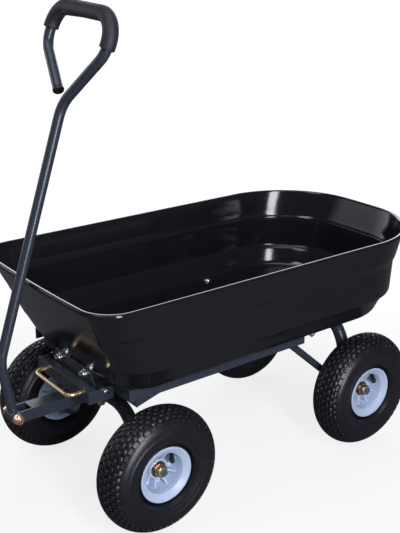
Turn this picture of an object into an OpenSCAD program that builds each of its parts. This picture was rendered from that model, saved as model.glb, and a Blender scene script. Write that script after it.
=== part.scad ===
// Tipping dump cart: a stepped moulded tub on a tubular steel chassis with four
// pneumatic wheels, a steered front axle, a pull handle and a sprung tipping latch.
// X runs forward to the handle, Y to the cart's left and Z up. The ground is Z = 0.

/* [Wheels] */
// Outer diameter of a tyre over its tread
wheel_d = 260; // [246:1:274]
// Width of a tyre across its sidewalls
tyre_w = 84; // [78:1:88]
// Depth of the tread grooves
tread_depth = 5; // [3:0.5:6]
// Width of a tread groove
tread_groove = 3.5; // [2.5:0.5:5]
// Number of tread blocks round a tyre
tread_blocks = 32; // [24:1:36]
// Thickness of a tyre's casing
casing_t = 8; // [6:0.5:9]
// Diameter over the rim flanges
rim_d = 116; // [112:1:120]
// Width over the rim flanges
rim_w = 63; // [60:1:66]
// Thickness of the rim's moulded wall
rim_t = 4; // [3:0.5:5]
// Number of ribs on each face of a rim
rim_ribs = 8; // [5:1:9]
// Distance between the centre planes of a left and a right wheel
track = 407; // [400:1:416]
// Diameter of the stub axles
axle_d = 16; // [14:0.5:17]
// Outer diameter of a wheel bearing
bearing_d = 35; // [32:1:37]
// Width of a wheel bearing
bearing_w = 11; // [9:0.5:13]
// Length of a wheel hub
hub_l = 42; // [38:1:44]
// How far the hub's outer face stands outboard of the wheel centre plane
hub_out = 4; // [2:0.5:6]

/* [Tub] */
// Length of the tub over its rim
tub_l = 903; // [890:1:915]
// Width of the tub over its rim
tub_w = 496; // [488:1:510]
// Depth of the tub from rim to underside
tub_depth = 185; // [175:1:195]
// Thickness of the tub's wall
tub_t = 4; // [3:0.5:5]
// How far the rim reaches behind the rear axle
rear_overhang = 195; // [180:1:210]
// How far the front wall leans forward
front_slope = 95; // [85:1:105]
// How far the rear wall leans back
rear_slope = 80; // [70:1:90]
// How far the side walls stand out at the rim
side_slope = 50; // [44:1:56]
// Radius of the rim's front corners
front_corner_r = 63; // [55:1:75]
// Radius of the rim's rear corners
rear_corner_r = 195; // [180:1:205]
// Bulge of the rim at the middle of the front
front_bow = 8; // [4:0.5:10]
// Bulge of the front wall at the floor
floor_bow = 16; // [12:0.5:18]
// Bulge of the rim at the middle of the rear
rear_bow = 8.5; // [4:0.5:14]
// Height of the upper tier, from rim to first step
upper_tier_h = 61; // [54:1:66]
// Height of the middle tier
middle_tier_h = 77; // [70:1:82]
// Width of a step between two tiers
step_w = 6; // [4:0.5:8]
// Height of the rolled lip
lip_h = 9; // [7:0.5:12]
// How far the rolled lip stands out from the wall
lip_w = 5; // [4:0.5:7]

/* [Chassis] */
// Diameter of the hoop tubes
hoop_d = 28; // [25:0.5:30]
// Height of the rear hoop's crown above the axle
rear_hoop_h = 149; // [143:1:156]
// Bend radius of the rear hoop
rear_bend_r = 88; // [75:1:95]
// Height of the front hoop's crown above the axle
front_hoop_h = 86; // [80:1:92]
// Bend radius of the front hoop
front_bend_r = 68; // [60:1:72]
// Height of the tub's underside above the tipping axis
hinge_rise = 24; // [22:0.5:27]
// Height of a side rail
rail_h = 25; // [22:0.5:28]
// Width of a side rail's top flange
rail_w = 27; // [24:1:30]
// Thickness of the rails, channels and brackets
plate_t = 3; // [2.5:0.5:4]
// Distance from the rim's side to the rail's outer face
rail_inset = 63; // [60:1:68]
// Height of the front bolster
bolster_h = 38; // [34:1:42]
// Length of the front bolster along the cart
bolster_l = 60; // [54:1:62]
// Diameter of the diagonal braces
brace_d = 16; // [14:0.5:18]
// Distance from the tub's front underside edge back to the king pin
front_setback = 62; // [58:1:68]

/* [Steering and handle] */
// Diameter of the king pin
king_d = 16; // [14:0.5:18]
// Width of the tongue channel
tongue_w = 34; // [32:1:38]
// Height of the tongue channel
tongue_h = 26; // [24:1:30]
// Distance from the rim's front to the handle's pivot
handle_reach = 47; // [44:1:50]
// Diameter of the handle tube
handle_d = 20; // [18:0.5:22]
// Length of the handle from its pivot to its bend
handle_lower = 119; // [112:1:126]
// Forward lean of the lower handle, in degrees
lower_lean = 9.5; // [8:0.5:12]
// Length of the handle from its bend to its loop
handle_upper = 498; // [470:1:520]
// Backward lean of the upper handle, in degrees
upper_lean = 18.6; // [17:0.2:19]
// Bend radius of the handle
handle_bend_r = 80; // [60:1:100]
// Height of the handle's loop
loop_h = 168; // [155:1:180]
// Angle between the stem and each side of the loop, in degrees
loop_angle = 45.5; // [44:0.5:48]
// Radius of the loop's upper corners
loop_r = 46; // [40:1:50]
// Outer diameter of the grip
grip_d = 29; // [26:0.5:32]

/* [Latch] */
// Width of the latch channel
latch_w = 204; // [196:1:214]
// Height of the latch channel
latch_h = 27; // [24:1:30]
// Distance from the tub's front underside edge to the latch channel's face
latch_reach = 24; // [22:1:30]
// Diameter of the bail's rod
bail_d = 8; // [7:0.5:9]
// Distance between the bail's legs
bail_w = 136; // [128:1:142]
// How far the bail's bar stands in front of the channel
bail_reach = 26; // [22:1:32]

/* [Hidden] */
$fn = 48;
// Clearances: flat faces, curved faces of one body, running fits, and the overrun of cuts
seat_gap = 0.3;
weld_gap = 0.15;
run_gap = 0.05;
over = 1;
// Swell of a tube's bends, and how far its straight runs lap into them
bend_swell = 0.1;
bend_lap = 1;
// Sizes of hexagon fasteners
m16_flats = 24;
m16_h = 13;
m12_d = 12;
m12_flats = 19;
m12_h = 10;
m8_d = 8;
m8_flats = 13;
m8_h = 6.5;
washer_t = 2;
washer_rim = 5;
bolt_tail = 4;
nut_collar_share = 0.3;
hex_sides = 6;

// Heights and stations along the cart, with the rear axle at station zero
wheel_r = wheel_d / 2;
axle_z = wheel_r;
rear_crown_z = axle_z + rear_hoop_h;
front_crown_z = axle_z + front_hoop_h;
tub_z = rear_crown_z + hinge_rise;
rim_z = tub_z + tub_depth;
rim_front = tub_l - rear_overhang;
rim_rear = -rear_overhang;
tub_front = rim_front - front_bow - front_slope + floor_bow;
king_x = tub_front - front_setback;
pivot_x = rim_front + handle_reach;

// Tyre section: angles from the crown to the edges of its grooves and of its tread
section_r = tyre_w / 2;
section_c = wheel_r - section_r;
groove_1 = [12, 17];
groove_2 = [30, 35];
tread_edge = 56;
shoulder_depth = 16;
slot_turn_share = 0.5;
// Rim: flanges, bead seats, barrel, web, ribs and hub
flange_h = 4.5;
flange_t = 2.5;
seat_r = rim_d / 2 - flange_h;
flange_half = rim_w / 2 - flange_t;
seat_half = flange_half - flange_h;
barrel_r = seat_r - rim_t;
hub_wall = 3.5;
hub_r = bearing_d / 2 + hub_wall;
web_t = 5;
web_share = 0.2;
web_h = -rim_w * web_share;
rib_t = 3;
rib_drop = 9;
rib_turn_share = 0.5;
dish_lip = 3.5;
dish_r = 42.5;
dish_drop = 7;
dish_draft = 4.5;
rib_hub_drop = 3;
axle_bore_gap = 1.5;
// Tyre valve, leaning outboard from the barrel
valve_d = 8;
valve_cap_d = 10;
valve_l = 24;
valve_cap_l = 11;
valve_root = 4;
valve_lean = 38;
valve_h = 6;
valve_seat_r = dish_r - dish_draft / 2;
valve_turn_share = 5;
// Hoop legs and stub axles
rear_leg_gap = 1.5;
front_leg_gap = 19.5;
rear_leg_y = track / 2 - tyre_w / 2 - rear_leg_gap - hoop_d / 2;
front_leg_y = track / 2 - tyre_w / 2 - front_leg_gap - hoop_d / 2;
leg_tail = 20;
stub_shoulder = 3;
stub_head = 4;
hub_face = track / 2 + hub_out;
hub_back = hub_face - hub_l;

// Tub: depths of the steps below the rim, and insets from the rim's side
draft = 3;
step_drop = 5;
lip_edge = 2;
toe_h = 5;
toe_w = 8;
rim_half = tub_w / 2;
shelf1 = upper_tier_h;
shelf2 = upper_tier_h + middle_tier_h;
inset1 = lip_w + draft;
inset1b = inset1 + step_w;
inset2 = inset1b + draft;
inset2b = inset2 + step_w;
panel_border = 34;
panel_slope = 4;
panel_rise = 3;
front_radius_share = 0.25;
rear_radius_share = 0.75;
wall_drop_share = 0.6;
front_arc = 8;
rear_arc = 11;
front_steps = 6;
rear_steps = 4;

// Rails, bolster, crossbar, stays and braces
rail_y = rim_half - rail_inset;
rail_top = tub_z - seat_gap;
rail_front_gap = 15;
rail_front = tub_front - rail_front_gap;
rail_rear = 162;
flange_low = rail_top - plate_t;
bolster_low = flange_low - bolster_h;
bolster_rear_low = rail_top - rail_h;
bolster_front = king_x + bolster_l / 2;
bolster_rear = king_x - bolster_l / 2;
crossbar_l = 28;
crossbar_set = 8;
crossbar_rear = rail_rear + crossbar_set;
crossbar_low = rail_top - rail_h;
stay_w = 18;
stay_y = 48;
brace_x = crossbar_rear + crossbar_l / 2;
brace_foot_drop = 16;

// Tongue, king pin and handle
tongue_top = front_crown_z + hoop_d / 2 + plate_t;
tongue_low = tongue_top - tongue_h;
tongue_tail = 8;
tongue_rear = king_x - hoop_d / 2 - tongue_tail;
pivot_drop = 12;
pivot_z = tongue_top - pivot_drop;
web_cut = 32;
boss_wall = 16;
boss_d = king_d + 2 * boss_wall;
boss_low = tongue_top + seat_gap;
king_depth = 22;
king_tail = 4;
king_washer_top = front_crown_z - hoop_d / 2 - seat_gap;
king_nut_top = king_washer_top - washer_t;
bush_wall = 7;
bush_d = m12_d + 2 * bush_wall;
clevis_gap = tongue_w - 2 * plate_t;
handle_x = pivot_x + handle_lower * sin(lower_lean);
handle_z = pivot_z + handle_lower * cos(lower_lean);
apex_x = handle_x - handle_upper * sin(upper_lean);
apex_z = handle_z + handle_upper * cos(upper_lean);
apex_r = 60;
loop_half = loop_h * tan(loop_angle);
loop_turn = 90 + loop_angle;
loop_flat = loop_half - loop_r * tan(loop_turn / 2);
loop_end = 33;
grip_sweeps = [105, 90];
grip_over = 3;
cap_l = 7;
cap_t = 3;
cap_wall = 0.8;

// Latch channel, catch and bail
hanger_front = tub_front - plate_t;
hanger_l = 42;
hanger_drop = 38;
hanger_w = 132;
catch_margin = 14;
catch_shoulder = 26;
catch_set = 2;
latch_drop = 26;
latch_face = tub_front + latch_reach;
latch_top = tub_z - latch_drop;
latch_low = latch_top - latch_h;
latch_lip = 19;
catch_low = latch_low + catch_set;
bail_z = latch_low + latch_h / 2;
bail_x = latch_face + bail_reach;
bail_bend_r = 14;
tip_gap = 1.2;
tip_x = tub_front + tip_gap;
collar_set = 2;
collar_rim = 3;
collar_t = 2.5;
spring_wire = 1.4;
spring_play = 2;
spring_r = bail_d / 2 + spring_play;
spring_turns = 3.5;
spring_rings = 8;
spring_sides = 6;
catch_bolt_y = 48;
catch_bolt_drop = 12;
arm_bolt_back = 13;
arm_bolt_x = tub_front - arm_bolt_back;
arm_bolt_drop = 8;

// Hinge straps, cross strap and the bolts through the tub's floor
strap_y = 26;
strap_w = 20;
strap_wall = 5;
strap_r = hoop_d / 2 + run_gap + strap_wall;
strap_l = 84;
strap_bolt_x = 32;
cross_l = 30;
cross_x = 140;
cross_bolt_inset = 65;
cross_bolt_y = rim_half - cross_bolt_inset;
cross_margin = 10;
dome_d = 20;
dome_h = 5;
seat_sink = 1.2;
seat_rim = 2;
hanger_bolt_back = 17;
hanger_bolt_y = 26;

// The origin stands on the ground under the middle of the overall length
bend_trim = handle_bend_r * tan((lower_lean + upper_lean) / 2);
bend_cx = handle_x - bend_trim * sin(lower_lean) - handle_bend_r * cos(lower_lean);
nose_x = bend_cx + handle_bend_r + handle_d / 2;
middle_x = (nose_x + rim_rear) / 2;

steel = [0.24, 0.27, 0.31];
zinc = [0.75, 0.75, 0.72];
yellow_zinc = [0.80, 0.66, 0.36];
black_plastic = [0.05, 0.05, 0.055];
rubber = [0.07, 0.07, 0.07];
rim_blue = [0.74, 0.80, 0.90];

// Shared shapes

// Moves a shape from stations along the cart to the model's own origin
module placed() {
  translate([-middle_x, 0, 0]) children();
}

// Puts a shape drawn for the left on the given side
module on_side(side) {
  mirror([0, side < 0 ? 1 : 0, 0]) children();
}

// Repeats a shape on the left and the right of the cart
module both_sides() {
  for (side = [-1, 1]) {
    on_side(side) children();
  }
}

// A round bar along Y, from the cart's middle outward
module bar_y(d, from, to) {
  translate([0, from, 0]) rotate([-90, 0, 0]) cylinder(d = d, h = to - from);
}

// A hexagon prism standing on Z = 0
module hexagon(flats, h) {
  cylinder(d = flats / cos(180 / hex_sides), h = h, $fn = hex_sides);
}

// A lock nut standing on Z = 0, with its round collar on top
module lock_nut(flats, bore, h) {
  difference() {
    union() {
      hexagon(flats, h * (1 - nut_collar_share));
      cylinder(d = flats - 2 * weld_gap, h = h);
    }
    translate([0, 0, -over]) cylinder(d = bore + 2 * run_gap, h = h + 2 * over);
  }
}

// A flat washer standing on Z = 0
module washer(bore, t) {
  difference() {
    cylinder(d = bore + 2 * washer_rim, h = t);
    translate([0, 0, -over]) cylinder(d = bore + 2 * run_gap, h = t + 2 * over);
  }
}

// Stands a flat drawing up across the cart: its X becomes Y and its Y becomes Z
module across() {
  rotate([90, 0, 90]) children();
}

// Stands a flat drawing up along the cart: its X stays and its Y becomes Z
module along() {
  rotate([90, 0, 0]) children();
}

function unit(v) = v / norm(v);
function heading(path, i) = unit(path[i + 1] - path[i]);
function turn(a, b) = atan2(a[0] * b[1] - a[1] * b[0], a[0] * b[0] + a[1] * b[1]);
function is_corner(path, i) = i > 0 && i < len(path) - 1;
function corner_turn(path, i) = is_corner(path, i) ? turn(heading(path, i - 1), heading(path, i)) : 0;
function corner_trim(path, radii, i) =
  is_corner(path, i) ? radii[i - 1] * tan(abs(corner_turn(path, i)) / 2) : 0;

// A round tube bent along a flat path of straight runs and rounded corners. The bends swell
// a little, as drawn tube does, and the runs lap into them. Runs before the first are left out
module bent_tube(path, radii, d, first = 0) {
  last = len(path) - 1;
  for (i = [first : last - 1]) {
    dir = heading(path, i);
    from = is_corner(path, i) ? corner_trim(path, radii, i) - bend_lap : 0;
    to = is_corner(path, i + 1) ? corner_trim(path, radii, i + 1) - bend_lap : 0;
    translate(path[i] + dir * from) rotate([0, 0, atan2(dir[1], dir[0])])
      rotate([0, 90, 0]) cylinder(d = d, h = norm(path[i + 1] - path[i]) - from - to);
  }
  for (i = [1 : last - 1]) {
    bend = corner_turn(path, i);
    dir = heading(path, i - 1);
    normal = sign(bend) * [-dir[1], dir[0]];
    start = atan2(-normal[1], -normal[0]);
    translate(path[i] - dir * corner_trim(path, radii, i) + normal * radii[i - 1])
      rotate([0, 0, bend > 0 ? start : start + bend])
        rotate_extrude(angle = abs(bend)) translate([radii[i - 1], 0]) circle(d = d + 2 * bend_swell);
  }
}

// Tub

function front_inset(depth) = lip_w + (front_slope - lip_w) * depth / tub_depth;
function rear_extra(depth) = (rear_slope - side_slope) * depth / tub_depth;

// One outline of the tub at a depth below the rim, drawn in from the rim by an inset and a wall
function tub_ring(depth, inset, wall) =
  let (
    xf = rim_front - front_bow - (depth > 0 && inset > 0 ? front_inset(depth) : inset) - wall,
    xr = rim_rear + rear_bow + inset + rear_extra(depth) + wall,
    half = rim_half - inset - wall,
    rf = front_corner_r - (inset + wall) * front_radius_share,
    rr = rear_corner_r - (inset + rear_extra(depth) + wall) * rear_radius_share,
    flat = concat(
      [for (i = [0 : front_arc]) let (a = 90 * i / front_arc)
        [xf - rf + rf * cos(a), half - rf + rf * sin(a)]],
      [for (i = [0 : rear_arc]) let (a = 90 + 90 * i / rear_arc)
        [xr + rr + rr * cos(a), half - rr + rr * sin(a)]],
      [for (i = [1 : rear_steps - 1]) [xr, (half - rr) * (1 - 2 * i / rear_steps)]],
      [for (i = [0 : rear_arc]) let (a = 180 + 90 * i / rear_arc)
        [xr + rr + rr * cos(a), rr - half + rr * sin(a)]],
      [for (i = [0 : front_arc]) let (a = 270 + 90 * i / front_arc)
        [xf - rf + rf * cos(a), rf - half + rf * sin(a)]],
      [for (i = [1 : front_steps - 1]) [xf, (rf - half) * (1 - 2 * i / front_steps)]]
    ),
    mid = (xf + xr) / 2,
    reach = (xf - xr) / 2,
    bow = front_bow + (floor_bow - front_bow) * depth / tub_depth
  )
  [for (p = flat)
    let (u = (p[0] - mid) / reach, v = p[1] / half)
    [p[0] + u * (u > 0 ? bow : rear_bow) * (1 - v * v), p[1], rim_z - depth]];

// Levels of the tub's outer skin from underside to rim, then of its inner skin down to the floor
wall_drop = tub_t * wall_drop_share;
tub_levels = [
  [tub_depth, side_slope, 0],
  [tub_depth - toe_h, side_slope - toe_w, 0],
  [shelf2 + step_drop, inset2b, 0],
  [shelf2, inset2, 0],
  [shelf1 + step_drop, inset1b, 0],
  [shelf1, inset1, 0],
  [lip_h, lip_w, 0],
  [lip_h, 0, 0],
  [lip_edge, 0, 0],
  [0, lip_edge, 0],
  [0, lip_w - lip_edge, tub_t],
  [lip_edge, lip_w, tub_t],
  [shelf1 - wall_drop, inset1, tub_t],
  [shelf1 + step_drop - wall_drop, inset1b, tub_t],
  [shelf2 - wall_drop, inset2, tub_t],
  [shelf2 + step_drop - wall_drop, inset2b, tub_t],
  [tub_depth - toe_h - wall_drop, side_slope - toe_w, tub_t],
  [tub_depth - tub_t, side_slope, tub_t],
  [tub_depth - tub_t, side_slope, panel_border],
  [tub_depth - tub_t - panel_rise, side_slope, panel_border + panel_slope]
];

// A closed shell through a stack of outlines with equal point counts
module loft(rings) {
  n = len(rings[0]);
  last = len(rings) - 1;
  polyhedron(
    points = [for (r = rings) each r],
    faces = concat(
      [[for (j = [0 : n - 1]) j]],
      [for (i = [0 : last - 1]) for (j = [0 : n - 1])
        [i * n + j, (i + 1) * n + j, (i + 1) * n + (j + 1) % n]],
      [for (i = [0 : last - 1]) for (j = [0 : n - 1])
        [i * n + j, (i + 1) * n + (j + 1) % n, i * n + (j + 1) % n]],
      [[for (j = [n - 1 : -1 : 0]) last * n + j]]
    )
  );
}

// Places of the bolts through the tub's floor, along the cart and to the left
floor_bolts = [
  [cross_x, cross_bolt_y],
  [strap_bolt_x, strap_y],
  [-strap_bolt_x, strap_y],
  [hanger_front - hanger_bolt_back, hanger_bolt_y]
];
function on_border(bolt) = bolt[1] > rim_half - side_slope - panel_border
  || bolt[0] > tub_front - panel_border;
function floor_top(bolt) = tub_z + tub_t + (on_border(bolt) ? 0 : panel_rise);
function bolt_seat(bolt) = floor_top(bolt) - (on_border(bolt) ? 0 : seat_sink);

module tub() {
  placed() color(black_plastic)
    difference() {
      loft([for (level = tub_levels) tub_ring(level[0], level[1], level[2])]);
      both_sides()
        for (b = floor_bolts) {
          translate([b[0], b[1], tub_z - over])
            cylinder(d = m8_d + 2 * weld_gap, h = floor_top(b) - tub_z + 2 * over);
          translate([b[0], b[1], bolt_seat(b)])
            cylinder(d = dome_d + 2 * seat_rim, h = on_border(b) ? over : seat_sink + over);
        }
    }
}

// Flat bar across the underside of the tub, clamped by its outer bolts
module tub_cross_strap() {
  half = cross_bolt_y + cross_margin;
  placed() color(steel)
    difference() {
      translate([cross_x - cross_l / 2, -half, tub_z - plate_t]) cube([cross_l, 2 * half, plate_t]);
      both_sides()
        translate([cross_x, cross_bolt_y, tub_z - plate_t - over])
          cylinder(d = m8_d + 2 * weld_gap, h = plate_t + 2 * over);
    }
}

// Domed carriage bolts through the floor, each with a washer and nut below
module tub_carriage_bolts() {
  dome_r = (dome_d * dome_d / 4 + dome_h * dome_h) / (2 * dome_h);
  nut_top = tub_z - plate_t - washer_t;
  placed() color(zinc)
    both_sides()
      for (b = floor_bolts) {
        top = bolt_seat(b);
        translate([b[0], b[1], top])
          intersection() {
            translate([0, 0, dome_h - dome_r]) sphere(r = dome_r);
            cylinder(d = dome_d, h = dome_h + over);
          }
        translate([b[0], b[1], nut_top - m8_h - bolt_tail])
          cylinder(d = m8_d, h = top - nut_top + m8_h + bolt_tail);
        translate([b[0], b[1], nut_top]) washer(m8_d, washer_t);
        translate([b[0], b[1], nut_top]) mirror([0, 0, 1]) lock_nut(m8_flats, m8_d, m8_h);
      }
}

// Angle bracket under the front of the tub that carries the catch
module tub_hanger() {
  placed() color(steel)
    difference() {
      union() {
        translate([hanger_front - hanger_l, -hanger_w / 2, tub_z - plate_t])
          cube([hanger_l, hanger_w, plate_t]);
        translate([hanger_front - plate_t, -hanger_w / 2, tub_z - hanger_drop])
          cube([plate_t, hanger_w, hanger_drop]);
      }
      both_sides() {
        translate([hanger_front - hanger_bolt_back, hanger_bolt_y, tub_z - plate_t - over])
          cylinder(d = m8_d + 2 * weld_gap, h = plate_t + 2 * over);
        catch_bolt_hole();
      }
    }
}

// Clearance hole of one bolt through the hanger and the catch
module catch_bolt_hole() {
  translate([hanger_front - plate_t - over, catch_bolt_y, tub_z - catch_bolt_drop])
    rotate([0, 90, 0]) cylinder(d = m8_d + 2 * weld_gap, h = 2 * plate_t + 2 * over);
}

// Catch: a shouldered plate whose two holes take the bail's tips
module catch_plate() {
  low_half = bail_w / 2 + catch_margin;
  top = tub_z - seat_gap;
  placed() color(steel)
    difference() {
      translate([hanger_front, 0, 0]) across()
        linear_extrude(height = plate_t)
          polygon([
            [-low_half, catch_low], [low_half, catch_low], [low_half, top - catch_shoulder],
            [hanger_w / 2, top], [-hanger_w / 2, top], [-low_half, top - catch_shoulder]
          ]);
      both_sides() {
        translate([hanger_front - over, bail_w / 2, bail_z])
          rotate([0, 90, 0]) cylinder(d = bail_d + 2 * seat_gap, h = plate_t + 2 * over);
        catch_bolt_hole();
      }
    }
}

// Hexagon bolts from behind the hanger, with washers and nuts in front of the catch
module catch_bolts() {
  placed() color(zinc)
    both_sides()
      translate([hanger_front - plate_t, catch_bolt_y, tub_z - catch_bolt_drop]) rotate([0, 90, 0]) {
        stack = 2 * plate_t;
        mirror([0, 0, 1]) hexagon(m8_flats, m8_h);
        cylinder(d = m8_d, h = stack + washer_t + m8_h + bolt_tail);
        translate([0, 0, stack]) washer(m8_d, washer_t);
        translate([0, 0, stack + washer_t]) lock_nut(m8_flats, m8_d, m8_h);
      }
}

// Strap that hangs the tub on the rear hoop's crown and turns about it
module hinge_strap(side) {
  placed() color(steel) on_side(side)
    translate([0, strap_y - strap_w / 2, 0])
      difference() {
        union() {
          translate([-strap_l / 2, 0, tub_z - plate_t]) cube([strap_l, strap_w, plate_t]);
          translate([-strap_r, 0, rear_crown_z]) cube([2 * strap_r, strap_w, hinge_rise]);
          translate([0, 0, rear_crown_z]) bar_y(2 * strap_r, 0, strap_w);
        }
        translate([0, 0, rear_crown_z]) bar_y(hoop_d + 2 * run_gap, -over, strap_w + over);
        for (x = [-strap_bolt_x, strap_bolt_x]) {
          translate([x, strap_w / 2, tub_z - plate_t - over])
            cylinder(d = m8_d + 2 * weld_gap, h = plate_t + 2 * over);
        }
      }
}

// Chassis

// Angle-section rail under one side of the tub
module side_rail(side) {
  run = rail_front - rail_rear;
  placed() color(steel) on_side(side) {
    translate([rail_rear, rail_y - rail_w, flange_low]) cube([run, rail_w, plate_t]);
    translate([rail_rear, rail_y - plate_t, rail_top - rail_h]) cube([run, plate_t, rail_h]);
  }
}

// A channel open downward, laid across the cart between the rails
module cross_channel(rear, l, low, top) {
  half = rail_y - plate_t;
  translate([rear, -half, top - plate_t]) cube([l, 2 * half, plate_t]);
  for (x = [rear, rear + l - plate_t]) {
    translate([x, -half, low]) cube([plate_t, 2 * half, top - low]);
  }
}

// Channel over the front axle: a deep front wall, a short rear wall and ends that taper between them
module front_bolster() {
  half = rail_y - plate_t;
  placed() color(steel) {
    translate([bolster_rear, -half, flange_low - plate_t]) cube([bolster_l, 2 * half, plate_t]);
    translate([bolster_front - plate_t, -half, bolster_low]) cube([plate_t, 2 * half, bolster_h]);
    translate([bolster_rear, -half, bolster_rear_low]) cube([plate_t, 2 * half, flange_low - bolster_rear_low]);
    both_sides()
      translate([0, half, 0]) along()
        linear_extrude(height = plate_t)
          polygon([
            [bolster_rear, bolster_rear_low], [bolster_front, bolster_low],
            [bolster_front, flange_low], [bolster_rear, flange_low]
          ]);
  }
}

module rear_crossbar() {
  placed() color(steel) cross_channel(crossbar_rear, crossbar_l, crossbar_low, flange_low);
}

// Square stay from the crossbar to the rear hoop's crown
module hoop_stay(side) {
  placed() color(steel) on_side(side)
    difference() {
      translate([0, stay_y - stay_w / 2, rear_crown_z - stay_w / 2]) cube([crossbar_rear, stay_w, stay_w]);
      translate([0, stay_y - stay_w / 2, rear_crown_z])
        bar_y(hoop_d + 2 * weld_gap, -over, stay_w + over);
    }
}

// A bent tube with a crown and two legs, drilled for its stub axles
module hoop(leg_y, crown_z, bend_r) {
  foot = axle_z - leg_tail;
  difference() {
    across()
      bent_tube([[-leg_y, foot], [-leg_y, crown_z], [leg_y, crown_z], [leg_y, foot]], [bend_r, bend_r], hoop_d);
    both_sides()
      translate([0, leg_y, axle_z]) bar_y(axle_d + 2 * weld_gap, -hoop_d, hoop_d);
  }
}

module rear_hoop() {
  placed() color(steel) hoop(rear_leg_y, rear_crown_z, rear_bend_r);
}

module front_hoop() {
  placed() color(steel)
    translate([king_x, 0, 0])
      difference() {
        hoop(front_leg_y, front_crown_z, front_bend_r);
        translate([0, 0, front_crown_z - hoop_d]) cylinder(d = king_d + 2 * run_gap, h = 2 * hoop_d);
      }
}

// Diagonal brace from the crossbar down to the foot of a rear leg
module brace(side) {
  foot_z = axle_z - brace_foot_drop;
  rise = crossbar_low - foot_z;
  placed() color(steel) on_side(side)
    translate([0, rear_leg_y, 0])
      difference() {
        translate([0, 0, foot_z]) rotate([0, atan2(brace_x, rise), 0])
          cylinder(d = brace_d, h = norm([brace_x, rise]) + brace_d);
        translate([0, -brace_d, crossbar_low]) cube([2 * brace_x, 2 * brace_d, 2 * brace_d]);
        cylinder(d = hoop_d + 2 * weld_gap, h = rear_crown_z);
      }
}

// Turned stub axles through the feet of a hoop's legs
module stub_axles(x, leg_y) {
  leg_face = leg_y + hoop_d / 2;
  leg_back = leg_y - hoop_d / 2;
  placed() color(zinc)
    both_sides()
      translate([x, 0, axle_z]) {
        bar_y(axle_d + 2 * stub_head, leg_back - stub_head, leg_back);
        bar_y(axle_d, leg_back, hub_face + seat_gap + washer_t + m16_h + bolt_tail);
        bar_y(axle_d + 2 * stub_shoulder, leg_face, hub_back - seat_gap);
      }
}

// Washers and lock nuts on the ends of the stub axles
module axle_nuts(x) {
  placed() color(yellow_zinc)
    both_sides()
      translate([x, hub_face + seat_gap, axle_z]) rotate([-90, 0, 0]) {
        washer(axle_d, washer_t);
        translate([0, 0, washer_t]) lock_nut(m16_flats, axle_d, m16_h);
      }
}

module rear_stub_axles() {
  stub_axles(0, rear_leg_y);
}

module rear_axle_nuts() {
  axle_nuts(0);
}

// Boss under the bolster that carries the king pin
module king_boss() {
  placed() color(steel)
    translate([king_x, 0, boss_low])
      difference() {
        cylinder(d = boss_d, h = flange_low - plate_t - boss_low);
        translate([0, 0, -over]) cylinder(d = king_d + 2 * run_gap, h = king_depth + over);
      }
}

module king_pin() {
  low = king_nut_top - m16_h - king_tail;
  placed() color(zinc)
    translate([king_x, 0, low]) cylinder(d = king_d, h = boss_low + king_depth - low);
}

// Washer and lock nut that keep the front axle on the king pin
module king_nut() {
  placed() color(yellow_zinc)
    translate([king_x, 0, king_nut_top]) {
      washer(king_d, washer_t);
      mirror([0, 0, 1]) lock_nut(m16_flats, king_d, m16_h);
    }
}

// Latch

// Folded channel in front of the bolster, with an arm at each end and holes for the bail
module latch_channel() {
  placed() color(steel)
    difference() {
      union() {
        translate([latch_face - plate_t, -latch_w / 2, latch_low]) cube([plate_t, latch_w, latch_h]);
        translate([latch_face - latch_lip, -latch_w / 2, latch_top - plate_t])
          cube([latch_lip, latch_w, plate_t]);
        both_sides()
          translate([bolster_front, latch_w / 2 - plate_t, latch_low])
            cube([latch_face - bolster_front, plate_t, latch_h]);
      }
      both_sides() {
        translate([latch_face - plate_t - over, bail_w / 2, bail_z])
          rotate([0, 90, 0]) cylinder(d = bail_d + 2 * run_gap, h = plate_t + 2 * over);
        translate([arm_bolt_x, latch_w / 2 - plate_t, latch_top - arm_bolt_drop])
          bar_y(m8_d + 2 * weld_gap, -over, plate_t + over);
      }
    }
}

// Bolts through the channel's arms
module latch_bolts() {
  placed() color(zinc)
    both_sides()
      translate([arm_bolt_x, latch_w / 2, latch_top - arm_bolt_drop]) rotate([-90, 0, 0]) {
        hexagon(m8_flats, m8_h);
        translate([0, 0, -plate_t - m8_h - bolt_tail]) cylinder(d = m8_d, h = plate_t + m8_h + bolt_tail);
        translate([0, 0, -plate_t]) mirror([0, 0, 1]) lock_nut(m8_flats, m8_d, m8_h);
      }
}

// Pull bail: a rod bent to a U whose tips meet the catch
module bail() {
  half = bail_w / 2;
  line = [[tip_x, -half], [bail_x, -half], [bail_x, half], [tip_x, half]];
  placed() color(yellow_zinc)
    translate([0, 0, bail_z]) bent_tube(line, [bail_bend_r, bail_bend_r], bail_d);
}

// Collars near the bail's tips, which the springs push on
module bail_collars() {
  placed() color(zinc)
    both_sides()
      translate([tip_x + collar_set, bail_w / 2, bail_z]) rotate([0, 90, 0])
        difference() {
          cylinder(d = bail_d + 2 * collar_rim, h = collar_t);
          translate([0, 0, -over]) cylinder(d = bail_d + 2 * run_gap, h = collar_t + 2 * over);
        }
}

// A wire helix along X that starts at zero
function helix_ring(t, l) =
  let (a = 360 * spring_turns * t, x = spring_wire / 2 + (l - spring_wire) * t)
  [for (i = [0 : spring_sides - 1])
    let (b = 360 * i / spring_sides, r = spring_r + spring_wire / 2 * (1 + cos(b)))
    [x + spring_wire / 2 * sin(b), r * cos(a), r * sin(a)]];

module bail_springs() {
  start = tip_x + collar_set + collar_t + seat_gap;
  l = latch_face - plate_t - seat_gap - start;
  rings = spring_turns * spring_rings;
  placed() color(zinc)
    both_sides()
      translate([start, bail_w / 2, bail_z]) loft([for (i = [0 : rings]) helix_ring(i / rings, l)]);
}

// Steering and handle

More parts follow.
